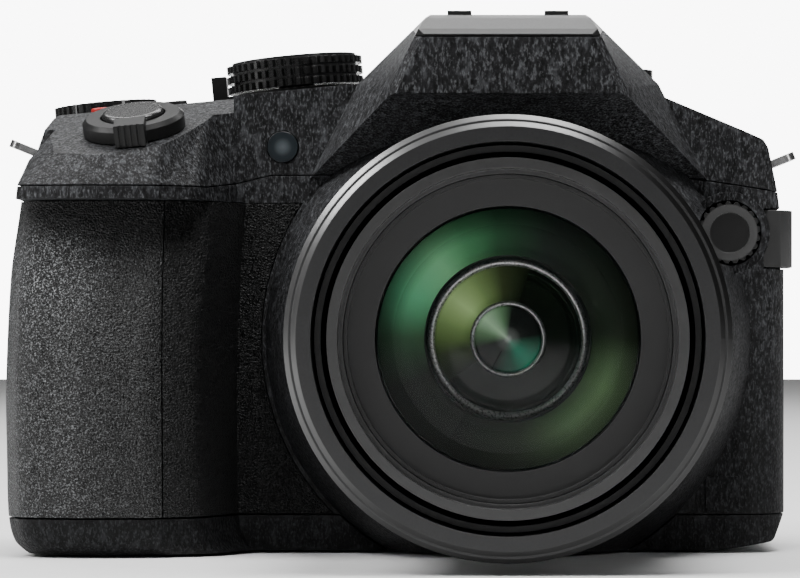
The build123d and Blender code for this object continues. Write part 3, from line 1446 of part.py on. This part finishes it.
with BuildPart() as case_screws:
    for x, y in screw_places:
        place = Plane(origin=(x, y, foot_height))
        disc(place, screw_head_radius, slip, screw_head_height)
        disc(place, screw_radius, screw_head_height, screw_length)
        block(place, screw_head_radius, slip * 3, 0, screw_head_height / 2, mode=Mode.SUBTRACT)
case_screws.part.label = "case_screws"

with BuildPart() as feet:
    for x, y in feet_places:
        disc(Plane(origin=(x, y, 0)), foot_radius, 0, foot_height + foot_sink)
feet.part.label = "feet"

for piece in (front_cover, grip_rubber, front_rubber, mic_door, rear_cover, thumb_rest, terminal_door, base_cover,
              top_cover, strap_lugs, lens_barrel, lens_bezel, cam_tube, zoom_barrel, name_ring, front_element,
              zoom_group_holder, zoom_group_lens, iris_unit, rear_group_lens, chassis, sensor_board, main_board,
              zoom_motor, battery_bay, battery, memory_card, battery_door, battery_door_latch, flash_head,
              flash_window, hinge_pins, hot_shoe, mode_dial, power_lever, zoom_lever, shutter_button,
              top_function_button, rear_dial, side_dial, top_board, af_lamp_window, focus_mode_lever,
              af_lock_button, cursor_pad, menu_set_button, viewfinder_module, dioptre_wheel, eyepiece_lens,
              eyecup, monitor_frame, monitor_screen, monitor_hinge, tripod_bush, case_screws, feet):
    export_step(piece.part, "parts/" + piece.part.label + ".step")
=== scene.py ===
import json
import math

import bmesh
import bpy
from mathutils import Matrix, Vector


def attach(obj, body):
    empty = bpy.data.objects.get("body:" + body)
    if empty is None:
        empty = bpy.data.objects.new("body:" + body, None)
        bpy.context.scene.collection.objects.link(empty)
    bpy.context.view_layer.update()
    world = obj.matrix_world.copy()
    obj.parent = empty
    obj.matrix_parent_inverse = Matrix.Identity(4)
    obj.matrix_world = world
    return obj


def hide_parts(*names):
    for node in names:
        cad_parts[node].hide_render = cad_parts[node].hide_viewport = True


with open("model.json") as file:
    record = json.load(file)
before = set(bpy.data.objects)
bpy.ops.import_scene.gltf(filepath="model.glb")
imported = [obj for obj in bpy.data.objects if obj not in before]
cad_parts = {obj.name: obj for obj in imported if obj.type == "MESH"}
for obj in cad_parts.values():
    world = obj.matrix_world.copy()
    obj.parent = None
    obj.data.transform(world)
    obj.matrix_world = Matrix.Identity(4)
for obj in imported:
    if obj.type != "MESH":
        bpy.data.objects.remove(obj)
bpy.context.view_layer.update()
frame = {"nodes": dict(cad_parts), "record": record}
nodes = frame["nodes"]

MM = 0.001
LENS_HEIGHT = 35.5 * MM         # the lens axis runs along Y at this height
CAMERA_BACK = 0.680             # from the viewing camera to the plane y = 0, in metres
CAMERA_HEIGHT = 35.2 * MM
FLOOR_REACH = 3.0               # half the side of the floor, in metres
EDGE = 0.2 * MM                 # radius that shading gives to a hard edge
SIDE_DIAL = (36.4 * MM, 53.0 * MM)      # x and z of its middle
LAMP_WINDOW = (-37.4 * MM, 67.4 * MM)
BADGE = (35.6 * MM, -17.0 * MM, 9.9 * MM)


# Viewing camera: a long lens almost level with the lens axis, shifted to frame the whole body

camera_data = bpy.data.cameras.new("studio_camera")
camera_data.sensor_width = 36.0
camera_data.lens = 179.7
camera_data.shift_x = -0.135
camera_data.shift_y = 0.065
camera_data.clip_start = 0.01
camera_data.clip_end = 20.0
camera = bpy.data.objects.new("studio_camera", camera_data)
camera.location = (0.0, -CAMERA_BACK, CAMERA_HEIGHT)
camera.rotation_euler = (math.radians(90), 0, 0)
bpy.context.scene.collection.objects.link(camera)
bpy.context.scene.camera = camera


# Floor and light

def floor_material():
    """Pale paper with a faint unevenness."""
    mat = bpy.data.materials.new("floor_paper")
    mat.use_nodes = True
    tree = mat.node_tree
    shader = tree.nodes["Principled BSDF"]
    shader.inputs["Roughness"].default_value = 0.8
    place = tree.nodes.new("ShaderNodeTexCoord")
    noise = tree.nodes.new("ShaderNodeTexNoise")
    noise.inputs["Scale"].default_value = 300
    tree.links.new(place.outputs["Object"], noise.inputs["Vector"])
    ramp = tree.nodes.new("ShaderNodeValToRGB")
    ramp.color_ramp.elements[0].color = (0.86, 0.86, 0.86, 1)
    ramp.color_ramp.elements[1].color = (0.92, 0.92, 0.92, 1)
    tree.links.new(noise.outputs["Fac"], ramp.inputs["Fac"])
    tree.links.new(ramp.outputs["Color"], shader.inputs["Base Color"])
    return mat


def build_floor():
    """A large level sheet that stands outside the part."""
    mesh = bpy.data.meshes.new("floor")
    form = bmesh.new()
    signs = ((-1, -1), (1, -1), (1, 1), (-1, 1))
    form.faces.new([form.verts.new((x * FLOOR_REACH, y * FLOOR_REACH, 0)) for x, y in signs])
    form.to_mesh(mesh)
    form.free()
    mesh.materials.append(floor_material())
    floor = bpy.data.objects.new("floor", mesh)
    bpy.context.scene.collection.objects.link(floor)


def soft_light(name, place, aim, width, height, power):
    """A white rectangular light at place that points to aim; power in watts."""
    data = bpy.data.lights.new(name, "AREA")
    data.shape = "RECTANGLE"
    data.size = width
    data.size_y = height
    data.energy = power
    light = bpy.data.objects.new(name, data)
    light.location = place
    light.rotation_euler = (Vector(aim) - Vector(place)).to_track_quat("-Z", "Y").to_euler()
    bpy.context.scene.collection.objects.link(light)


build_floor()
soft_light("key_light", (-0.50, -0.50, 0.85), (0, 0, 0.04), 0.30, 0.30, 4.5)
soft_light("top_light", (0.10, -0.15, 0.90), (0, 0, 0.05), 0.50, 0.30, 9)
soft_light("left_light", (-0.65, -0.12, 0.68), (0, -0.08, 0.04), 0.30, 0.30, 5)
soft_light("side_light", (-0.90, -0.40, 0.30), (0, 0, 0.04), 0.10, 0.40, 1.5)
soft_light("right_light", (0.75, -0.75, 0.35), (0.04, 0, 0.05), 0.10, 0.50, 1.5)
soft_light("back_light", (0.0, 0.90, 1.20), (0, 0.25, 0), 1.60, 0.40, 16)


def build_world():
    """A bright white wall behind the part and a dim room everywhere else."""
    world = bpy.data.worlds.new("studio")
    bpy.context.scene.world = world
    world.use_nodes = True
    tree = world.node_tree
    way = tree.nodes.new("ShaderNodeSeparateXYZ")
    tree.links.new(tree.nodes.new("ShaderNodeTexCoord").outputs["Generated"], way.inputs[0])
    ramp = tree.nodes.new("ShaderNodeMapRange")
    for end, value in (("From Min", 0.955), ("From Max", 0.985), ("To Min", 0.06), ("To Max", 9.0)):
        ramp.inputs[end].default_value = value
    tree.nodes["Background"].inputs["Color"].default_value = (1, 1, 1, 1)
    tree.links.new(way.outputs["Y"], ramp.inputs["Value"])
    tree.links.new(ramp.outputs["Result"], tree.nodes["Background"].inputs["Strength"])


build_world()


# Materials: most surfaces get a small unevenness of colour, gloss and relief from nodes

class Maker:
    """Builds one node material, a node at a time."""

    def __init__(self, name):
        self.mat = bpy.data.materials.new(name)
        self.mat.use_nodes = True
        self.tree = self.mat.node_tree
        self.shader = self.tree.nodes["Principled BSDF"]
        self.place = self.tree.nodes.new("ShaderNodeTexCoord").outputs["Object"]

    def node(self, kind, *links, **settings):
        """A new node with its settings made and its inputs linked from (input, source) pairs."""
        made = self.tree.nodes.new(kind)
        for key, value in settings.items():
            setattr(made, key, value)
        for socket, source in links:
            self.tree.links.new(source, made.inputs[socket])
        return made

    def noise(self, scale, detail=3.0, rough=0.6, place=None):
        """Soft noise from 0 to 1; scale counts its waves in a metre."""
        made = self.node("ShaderNodeTexNoise", ("Vector", place or self.place))
        made.inputs["Scale"].default_value = scale
        made.inputs["Detail"].default_value = detail
        made.inputs["Roughness"].default_value = rough
        return made.outputs["Fac"]

    def cells(self, scale, feature="F1", place=None):
        """Distance within irregular cells; scale counts them in a metre."""
        made = self.node("ShaderNodeTexVoronoi", ("Vector", place or self.place), feature=feature)
        made.inputs["Scale"].default_value = scale
        return made.outputs["Distance"]

    def ramp(self, source, *stops):
        """Colours or greys between (position, colour) stops."""
        made = self.node("ShaderNodeValToRGB", ("Fac", source))
        elements = made.color_ramp.elements
        while len(elements) < len(stops):
            elements.new(0.5)
        for element, (where, colour) in zip(elements, stops):
            element.position = where
            element.color = (*colour, 1) if isinstance(colour, tuple) else (colour, colour, colour, 1)
        return made.outputs["Color"]

    def maths(self, how, first, second=0):
        """One sum on numbers or sockets."""
        made = self.node("ShaderNodeMath", operation=how)
        for index, value in enumerate((first, second)):
            if isinstance(value, (int, float)):
                made.inputs[index].default_value = value
            else:
                self.tree.links.new(value, made.inputs[index])
        return made.outputs[0]

    def add(self, first, second):
        return self.maths("ADD", first, second)

    def times(self, first, second):
        return self.maths("MULTIPLY", first, second)

    def mix(self, share, first, second, how="MIX"):
        """Blends two colours, each given as a number, a colour or a socket."""
        made = self.node("ShaderNodeMix", data_type="RGBA", blend_type=how)
        for name, value in (("Factor", share), ("A", first), ("B", second)):
            socket = [s for s in made.inputs if s.name == name and s.enabled][0]
            if isinstance(value, (int, float)):
                socket.default_value = value
            elif isinstance(value, tuple):
                socket.default_value = (*value, 1)
            else:
                self.tree.links.new(value, socket)
        return [s for s in made.outputs if s.enabled][0]

    def spot(self):
        """The place on the object, as separate X, Y and Z."""
        return self.node("ShaderNodeSeparateXYZ", (0, self.place)).outputs

    def turn(self, start):
        """Turn round the lens axis, from 0 to 1, counted from the direction start in degrees."""
        spot = self.spot()
        across, up = spot["X"], self.maths("SUBTRACT", spot["Z"], LENS_HEIGHT)
        bend = math.radians(start + 180)
        high = self.maths("SUBTRACT", self.times(up, math.cos(bend)), self.times(across, math.sin(bend)))
        wide = self.add(self.times(across, math.cos(bend)), self.times(up, math.sin(bend)))
        return self.add(self.maths("DIVIDE", self.maths("ARCTAN2", high, wide), math.tau), 0.5)

    def off(self, x, z, full):
        """Distance from a line along Y through x and z, as a share of full."""
        spot = self.spot()
        across, up = self.maths("SUBTRACT", spot["X"], x), self.maths("SUBTRACT", spot["Z"], z)
        square = self.add(self.times(up, up), self.times(across, across))
        return self.maths("DIVIDE", self.maths("SQRT", square), full)

    def reach(self, full):
        """Distance from the lens axis as a share of full."""
        return self.off(0.0, LENS_HEIGHT, full)

    def along(self, axis, start, end):
        """Smooth rise from 0 at start to 1 at end, in metres along one axis."""
        made = self.node("ShaderNodeMapRange", ("Value", self.spot()[axis]), interpolation_type="SMOOTHSTEP")
        made.inputs["From Min"].default_value = start
        made.inputs["From Max"].default_value = end
        return made.outputs["Result"]

    def set(self, socket, value):
        """Gives a shader input a number, a colour or a link."""
        if isinstance(value, (int, float)):
            self.shader.inputs[socket].default_value = value
        elif isinstance(value, tuple):
            self.shader.inputs[socket].default_value = (*value, 1)
        else:
            self.tree.links.new(value, self.shader.inputs[socket])

    def glow(self, colour, strength):
        """Uses one colour for the surface and for a faint painted glow of its own."""
        self.set("Base Color", colour)
        self.set("Emission Color", colour)
        self.set("Emission Strength", strength)

    def relief(self, height, distance, edge=EDGE):
        """Fine relief and softly rounded hard edges."""
        soft = self.node("ShaderNodeBevel", samples=4)
        soft.inputs["Radius"].default_value = edge
        made = self.node("ShaderNodeBump", ("Height", height), ("Normal", soft.outputs["Normal"]))
        made.inputs["Strength"].default_value = 1.0
        made.inputs["Distance"].default_value = distance
        self.tree.links.new(made.outputs["Normal"], self.shader.inputs["Normal"])


def grained(name, dark, light, rough, grain, depth, metal=0.0, edge=EDGE, coat=0.0, gloss=0.5):
    """Smooth paint, plastic or metal with a faint grain."""
    make = Maker(name)
    patch = make.noise(grain / 12, 2.0)
    fine = make.noise(grain, 3.0)
    make.set("Base Color", make.ramp(make.add(make.times(patch, 0.5), make.times(fine, 0.5)),
                                     (0.3, dark), (0.7, light)))
    make.set("Roughness", make.add(make.times(fine, 0.12), rough - 0.06))
    make.set("Metallic", metal)
    make.set("Coat Weight", coat)
    make.set("Specular IOR Level", gloss)
    make.relief(fine, depth, edge)
    return make.mat


def crackle_plastic(name, shade):
    """Dark moulded plastic with a mottled crackle and lighter specks, darkened towards the floor by painted
    shade.
    """
    make = Maker(name)
    tall = make.node("ShaderNodeVectorMath", (0, make.place), operation="MULTIPLY")
    tall.inputs[1].default_value = (1.0, 1.0, 0.45)
    warp = make.noise(1500, 2.0, place=tall.outputs[0])
    cell = make.cells(1900)
    patch = make.noise(800, 3.0, 0.7, place=tall.outputs[0])
    fine = make.noise(3000, 2.0, place=tall.outputs[0])
    mottle = make.add(make.times(patch, 0.5), make.times(warp, 0.5))
    base = make.ramp(mottle, (0.36, 0.004), (0.50, (0.015, 0.015, 0.016)), (0.62, (0.055, 0.057, 0.061)))
    specks = make.ramp(fine, (0.54, 0.0), (0.66, 1.0))
    grain = make.mix(make.times(specks, 0.42), base, (0.155, 0.16, 0.168))
    # Painted shade: the colour is multiplied darker from z = 70 mm down to the floor, where less light falls.
    rise = make.add(make.times(make.along("Z", 4 * MM, 70 * MM), 1.0 - shade), shade)
    make.set("Base Color", make.mix(1.0, grain, rise, "MULTIPLY"))
    make.set("Roughness", make.add(make.times(cell, 0.25), 0.42))
    make.set("Specular IOR Level", 0.14)
    make.relief(make.add(cell, fine), 0.08 * MM)
    return make.mat


def leather_rubber(name, gloss):
    """Rubber with a leather grain: uneven pebbles between creases, with painted highlights on the left of the
    grip and painted shade in the finger hollow and under the top rim.
    """
    make = Maker(name)
    warp = make.node("ShaderNodeTexNoise", ("Vector", make.place))
    warp.inputs["Scale"].default_value = 500
    shift = make.node("ShaderNodeVectorMath", (0, warp.outputs["Color"]), operation="SCALE")
    shift.inputs["Scale"].default_value = 0.9 * MM
    bent = make.node("ShaderNodeVectorMath", (0, make.place), (1, shift.outputs[0]), operation="ADD")
    crease = make.cells(2100, "DISTANCE_TO_EDGE", bent.outputs[0])
    small = make.cells(4200, "F1", bent.outputs[0])
    fine = make.noise(3400, 2.0, 0.7)
    height = make.add(make.ramp(crease, (0.0, 0.0), (0.3, 1.0)), make.times(small, -0.6))
    grain = make.ramp(fine, (0.40, 0.002), (0.52, 0.012), (0.66, (0.16, 0.165, 0.17)))
    # Painted light and shade: lighter on the left of the grip below the rim, darker in the finger hollow and
    # under the top rim.
    painted_grip_highlight = make.times(make.along("X", -62 * MM, -71 * MM), make.along("Z", 56 * MM, 50 * MM))
    painted_hollow_shade = make.times(make.along("X", -51 * MM, -59 * MM), make.along("Z", 56 * MM, 48 * MM))
    # Painted highlight: a round lighter patch on the grip's bulge where the key light falls.
    patch = make.ramp(make.off(-75 * MM, 46 * MM, 11 * MM), (0.15, 1.0), (1.0, 0.0))
    shade = make.add(make.times(painted_hollow_shade, 0.35), make.times(painted_grip_highlight, 0.55))
    shade = make.add(make.add(shade, make.times(patch, 0.7)), 0.14)
    make.set("Base Color", make.mix(1.0, grain, shade, "MULTIPLY"))
    make.set("Specular IOR Level", gloss)
    make.set("Roughness", make.add(make.times(fine, 0.3), 0.48 - 0.6 * gloss))
    make.relief(height, 0.16 * MM, 0.3 * MM)
    return make.mat


def painted_reflection_ring():
    """The coated glass round the inner group, carrying painted reflections: green above on the left, olive
    below on the right.
    """
    make = Maker("painted_reflection_ring")
    # Painted reflection: green and olive crescents by turn round the axis stand in for softbox reflections in
    # the coated glass.
    glow = make.ramp(make.turn(240), (0.0, 0.012), (0.10, (0.055, 0.070, 0.045)), (0.18, (0.17, 0.29, 0.13)),
                     (0.26, (0.19, 0.34, 0.14)), (0.34, (0.035, 0.045, 0.028)), (0.52, (0.03, 0.035, 0.032)),
                     (0.60, (0.04, 0.13, 0.06)), (0.65, (0.12, 0.40, 0.18)), (0.70, (0.36, 0.92, 0.47)),
                     (0.765, (0.24, 0.84, 0.44)), (0.83, (0.10, 0.21, 0.12)), (0.90, 0.03))
    fade = make.ramp(make.reach(20 * MM), (0.62, 1.0), (0.80, 0.75), (0.90, 0.22), (1.0, 0.05))
    make.set("Base Color", make.mix(1.0, glow, fade, "MULTIPLY"))
    make.set("Roughness", 0.30)
    make.set("Specular IOR Level", 0.15)
    return make.mat


def group_glass():
    """The dark inner glass with a painted olive reflection above on the left and a faint painted glow."""
    make = Maker("group_glass")
    # Painted reflection: an olive crescent by turn round the axis.
    glow = make.ramp(make.turn(240), (0.0, 0.001), (0.53, (0.004, 0.006, 0.002)), (0.60, (0.05, 0.07, 0.025)),
                     (0.66, (0.28, 0.42, 0.15)), (0.73, (0.66, 0.95, 0.40)), (0.80, (0.28, 0.43, 0.15)),
                     (0.87, (0.04, 0.06, 0.02)), (0.94, 0.003))
    fade = make.ramp(make.reach(12 * MM), (0.30, 0.6), (0.60, 1.0), (0.93, 0.8), (1.0, 0.3))
    # Painted glow: the glass gives off a faint light of its own.
    make.glow(make.mix(1.0, glow, fade, "MULTIPLY"), 0.22)
    make.set("Roughness", 0.12)
    make.set("Specular IOR Level", 0.25)
    return make.mat


def core_glass():
    """The innermost glass with painted reflections, pale green above on the left and emerald below on the
    right, a painted highlight in its middle and a faint painted glow.
    """
    make = Maker("core_glass")
    # Painted reflections: green wedges by turn round the axis.
    glow = make.ramp(make.turn(240), (0.0, (0.002, 0.004, 0.003)), (0.10, (0.006, 0.10, 0.06)),
                     (0.20, (0.012, 0.34, 0.20)), (0.30, (0.03, 0.15, 0.09)), (0.36, 0.01), (0.56, 0.01),
                     (0.62, (0.16, 0.30, 0.16)), (0.72, (0.62, 0.92, 0.60)), (0.80, (0.20, 0.34, 0.19)),
                     (0.88, 0.02))
    # Painted highlight: a pale spot in the middle of the glass, which also glows faintly as painted light.
    painted_centre_highlight = make.ramp(make.reach(5.3 * MM), (0.0, 1.0), (0.14, 0.25), (0.40, 0.0))
    make.glow(make.mix(make.times(painted_centre_highlight, 0.9), glow, (0.75, 0.80, 0.76)), 0.12)
    make.set("Roughness", 0.15)
    make.set("Specular IOR Level", 0.25)
    return make.mat


def bezel_coat():
    """Satin paint with two polished bevels near the front edge, given a painted highlight that makes them
    brightest above on the left.
    """
    make = Maker("bezel_coat")
    fine = make.noise(2600, 3.0)
    share = make.reach(33.7 * MM)
    bevels = make.add(make.ramp(share, (0.943, 0.0), (0.946, 1.0), (0.966, 1.0), (0.969, 0.0)),
                      make.ramp(share, (0.977, 0.0), (0.980, 1.0)))
    polish = make.times(bevels, make.along("Y", -81.3 * MM, -81.5 * MM))
    paint = make.ramp(fine, (0.3, 0.010), (0.7, (0.016, 0.016, 0.017)))
    # Painted highlight: the polished bevels' colour is ramped lighter above on the left by turn round the
    # axis.
    painted_bevel_highlight = make.ramp(make.turn(240), (0.0, 0.035), (0.45, 0.045), (0.58, 0.10), (0.70, 0.18), (0.80, 0.15),
                      (0.90, 0.08), (1.0, 0.035))
    make.set("Base Color", make.mix(polish, paint, painted_bevel_highlight))
    make.set("Metallic", make.times(polish, 0.95))
    make.set("Roughness", make.add(make.times(fine, 0.10), 0.27))
    make.relief(fine, 0.006 * MM, 0.08 * MM)
    return make.mat


def dial_face(x, z):
    """A ribbed dial whose flat ring is lighter than its sunk middle, which is darkened with painted shade."""
    make = Maker("dial_face")
    fine = make.noise(2200, 3.0)
    # Painted shade: the sunk middle and the ribs are far darker than the flat ring.
    ring = make.ramp(make.off(x, z, 5.1 * MM), (0.0, 0.003), (0.60, 0.004), (0.66, 0.06), (0.88, 0.07),
                     (0.92, 0.006))
    make.set("Base Color", make.mix(0.3, ring, fine, "MULTIPLY"))
    make.set("Roughness", 0.34)
    make.relief(fine, 0.010 * MM, 0.12 * MM)
    return make.mat


def lamp_window(x, z):
    """A dark round window with a paler spot in its middle."""
    make = Maker("lamp_window")
    glow = make.ramp(make.off(x, z, 2.6 * MM), (0.0, (0.10, 0.115, 0.125)), (0.30, (0.06, 0.072, 0.08)),
                     (0.60, (0.012, 0.018, 0.022)), (0.92, (0.008, 0.013, 0.017)), (1.0, 0.002))
    make.set("Base Color", make.mix(0.15, glow, make.noise(1800, 2.0), "MULTIPLY"))
    make.set("Roughness", 0.35)
    make.set("Specular IOR Level", 0.3)
    return make.mat


def clear_glass(name, tint, alpha):
    """See-through glass with a faint tint."""
    make = Maker(name)
    fine = make.noise(200, 1.0)
    make.set("Base Color", make.ramp(fine, (0.3, tint), (0.7, tuple(c * 1.1 for c in tint))))
    make.set("Roughness", 0.04)
    make.set("Alpha", alpha)
    make.mat.surface_render_method = "BLENDED"
    return make.mat


looks = {
    "case_plastic": crackle_plastic("crackle_plastic", 0.30),
    "smooth_plastic": grained("satin_plastic", 0.009, 0.015, 0.38, 2400, 0.012 * MM, gloss=0.16),
    "grip_rubber": leather_rubber("leather_rubber", 0.3),
    "soft_rubber": grained("plain_rubber", 0.012, 0.022, 0.60, 1800, 0.03 * MM),
    "barrel_coat": grained("satin_metal", 0.022, 0.032, 0.30, 2600, 0.008 * MM),
    "ring_coat": grained("matt_ring", 0.004, 0.008, 0.50, 2200, 0.01 * MM),
    "dial_plastic": grained("gloss_dial", 0.008, 0.014, 0.22, 2200, 0.010 * MM, coat=0.3, edge=0.12 * MM),
    "button_plastic": grained("button_plastic", 0.010, 0.018, 0.26, 2200, 0.010 * MM),
    "record_red": grained("red_plastic", (0.42, 0.010, 0.008), (0.55, 0.02, 0.015), 0.30, 2200, 0.008 * MM),
    "lens_glass": clear_glass("coated_glass", (0.004, 0.010, 0.007), 0.12),
    "clear_window": clear_glass("clear_window", (0.03, 0.035, 0.04), 0.6),
    "screen_glass": grained("screen_glass", 0.004, 0.006, 0.08, 400, 0.002 * MM, coat=0.6),
    "chassis_metal": grained("cast_metal", 0.30, 0.42, 0.42, 1500, 0.02 * MM, metal=1.0),
    "steel": grained("bright_steel", 0.50, 0.62, 0.25, 1500, 0.008 * MM, metal=1.0, edge=0.1 * MM),
    "black_steel": grained("black_steel", 0.014, 0.022, 0.34, 1800, 0.010 * MM),
    "board_green": grained("board_green", (0.010, 0.06, 0.03), (0.02, 0.09, 0.045), 0.35, 1200,
                           0.01 * MM),
    "battery_case": grained("battery_case", 0.03, 0.045, 0.45, 1500, 0.01 * MM),
    "card_plastic": grained("card_plastic", (0.012, 0.02, 0.07), (0.02, 0.03, 0.10), 0.40, 1500,
                            0.01 * MM),
}

rim_look = grained("lens_rim", 0.42, 0.52, 0.28, 2600, 0.004 * MM, metal=0.6, edge=0.1 * MM)


# Forms that are too fine for the solids

def add_piece(name, form, look, body):
    """Turns a bmesh form into a piece that rides a body and has a material slot."""
    mesh = bpy.data.meshes.new(name)
    form.to_mesh(mesh)
    form.free()
    mesh.materials.append(look)
    piece = bpy.data.objects.new(name, mesh)
    bpy.context.scene.collection.objects.link(piece)
    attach(piece, body)
    return piece


def lathe(name, profile, look, body, steps=128):
    """A ring or disc turned about the lens axis from (radius, y) points in millimetres."""
    form = bmesh.new()
    spine = [form.verts.new((radius * MM, y * MM, 0)) for radius, y in profile]
    edges = [form.edges.new(pair) for pair in zip(spine, spine[1:])]
    bmesh.ops.spin(form, geom=[*spine, *edges], cent=(0, 0, 0), axis=(0, 1, 0), angle=math.tau,
                   steps=steps, use_duplicate=False)
    bmesh.ops.remove_doubles(form, verts=form.verts, dist=0.002 * MM)
    bmesh.ops.recalc_face_normals(form, faces=form.faces)
    bmesh.ops.translate(form, verts=form.verts, vec=(0, 0, LENS_HEIGHT))
    for face in form.faces:
        face.smooth = True
    return add_piece(name, form, look, body)


def dome(radius, edge, bulge, count=10):
    """Profile of a shallow round face from its middle to its edge, bulging forwards."""
    return [(radius * step / count, edge - bulge * (1 - (step / count) ** 2)) for step in range(count + 1)]


def softened(name, width, look, body):
    """A copy of a node with rounded edges, which stands for it."""
    form = bmesh.new()
    form.from_mesh(nodes[name].data)
    bmesh.ops.remove_doubles(form, verts=form.verts, dist=0.01 * MM)
    bmesh.ops.dissolve_limit(form, angle_limit=math.radians(2), verts=form.verts, edges=form.edges)
    for face in form.faces:
        face.smooth = True
    piece = add_piece(name + "_soft", form, look, body)
    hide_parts(name)
    bevel = piece.modifiers.new("edges", "BEVEL")
    bevel.width = width
    bevel.segments = 4
    bevel.limit_method = "ANGLE"
    bevel.angle_limit = math.radians(35)
    bevel.harden_normals = True
    return piece


def rounded_square(half, corner, steps=6):
    """Points (x, z) round a square with rounded corners, counted from the right middle."""
    points = []
    for turn, (right, up) in enumerate(((1, 1), (-1, 1), (-1, -1), (1, -1))):
        for step in range(steps + 1):
            bend = math.radians(90 * turn + 90 / steps * step)
            points.append((right * (half - corner) + corner * math.cos(bend),
                           up * (half - corner) + corner * math.sin(bend)))
    return points


def plate(name, middle, width, thickness, corner, look, body):
    """A thin square plate with rounded corners and a bevelled front edge, facing forwards."""
    form = bmesh.new()
    rings = []
    for inset, out in ((0.0, 0.0), (0.0, thickness * 0.6), (thickness * 0.6, thickness)):
        rings.append([form.verts.new((middle[0] + x, middle[1] - out, middle[2] + z))
                      for x, z in rounded_square(width / 2 - inset, corner)])
    for low, high in zip(rings, rings[1:]):
        for index in range(len(low)):
            after = (index + 1) % len(low)
            form.faces.new((low[index], low[after], high[after], high[index]))
    form.faces.new(rings[-1])
    form.faces.new(list(reversed(rings[0])))
    bmesh.ops.recalc_face_normals(form, faces=form.faces)
    return add_piece(name, form, look, body)


slot_of = {part["node"]: part["material_slot"] for part in frame["record"]["subparts"]}
for name, node in nodes.items():
    node.data.materials.clear()
    node.data.materials.append(looks[slot_of[name]])

nodes["front_rubber"].data.materials[0] = leather_rubber("front_leather", 0.2)
nodes["lens_bezel"].data.materials[0] = bezel_coat()
nodes["side_dial"].data.materials[0] = dial_face(*SIDE_DIAL)
nodes["af_lamp_window"].data.materials[0] = lamp_window(*LAMP_WINDOW)

# A cone in front of the baffle that carries painted reflections of the coated front group.
lathe("front_group_ring", [(19.7, -76.3), (18.0, -73.2), (14.6, -64.0), (13.0, -60.8), (13.0, -60.5),
                           (14.7, -63.6), (18.2, -72.9), (19.7, -75.9)],
      painted_reflection_ring(), "zoom_barrel")
lathe("group_rim", [(11.5, -52.6), (11.9, -53.2), (12.5, -53.0), (12.7, -52.2), (12.7, -51.9), (11.5, -51.9),
                    (11.5, -52.6)],
      rim_look, "zoom_group")
lathe("iris_rim", [(5.25, -53.4), (5.45, -54.0), (5.85, -53.9), (6.0, -53.2), (6.0, -52.0), (5.25, -52.0),
                   (5.25, -53.4)],
      rim_look, "zoom_group")
lathe("core_lens", [*dome(5.3, -53.3, 0.5), (5.3, -52.4), (0, -52.4)], core_glass(),
      "zoom_group")
nodes["zoom_group_lens"].data.materials[0] = group_glass()

softened("mic_door", 0.8 * MM, looks["soft_rubber"], "mic_door")
plate("badge_place", BADGE, 5.8 * MM, 0.18 * MM, 0.7 * MM, looks["case_plastic"],
      "case")
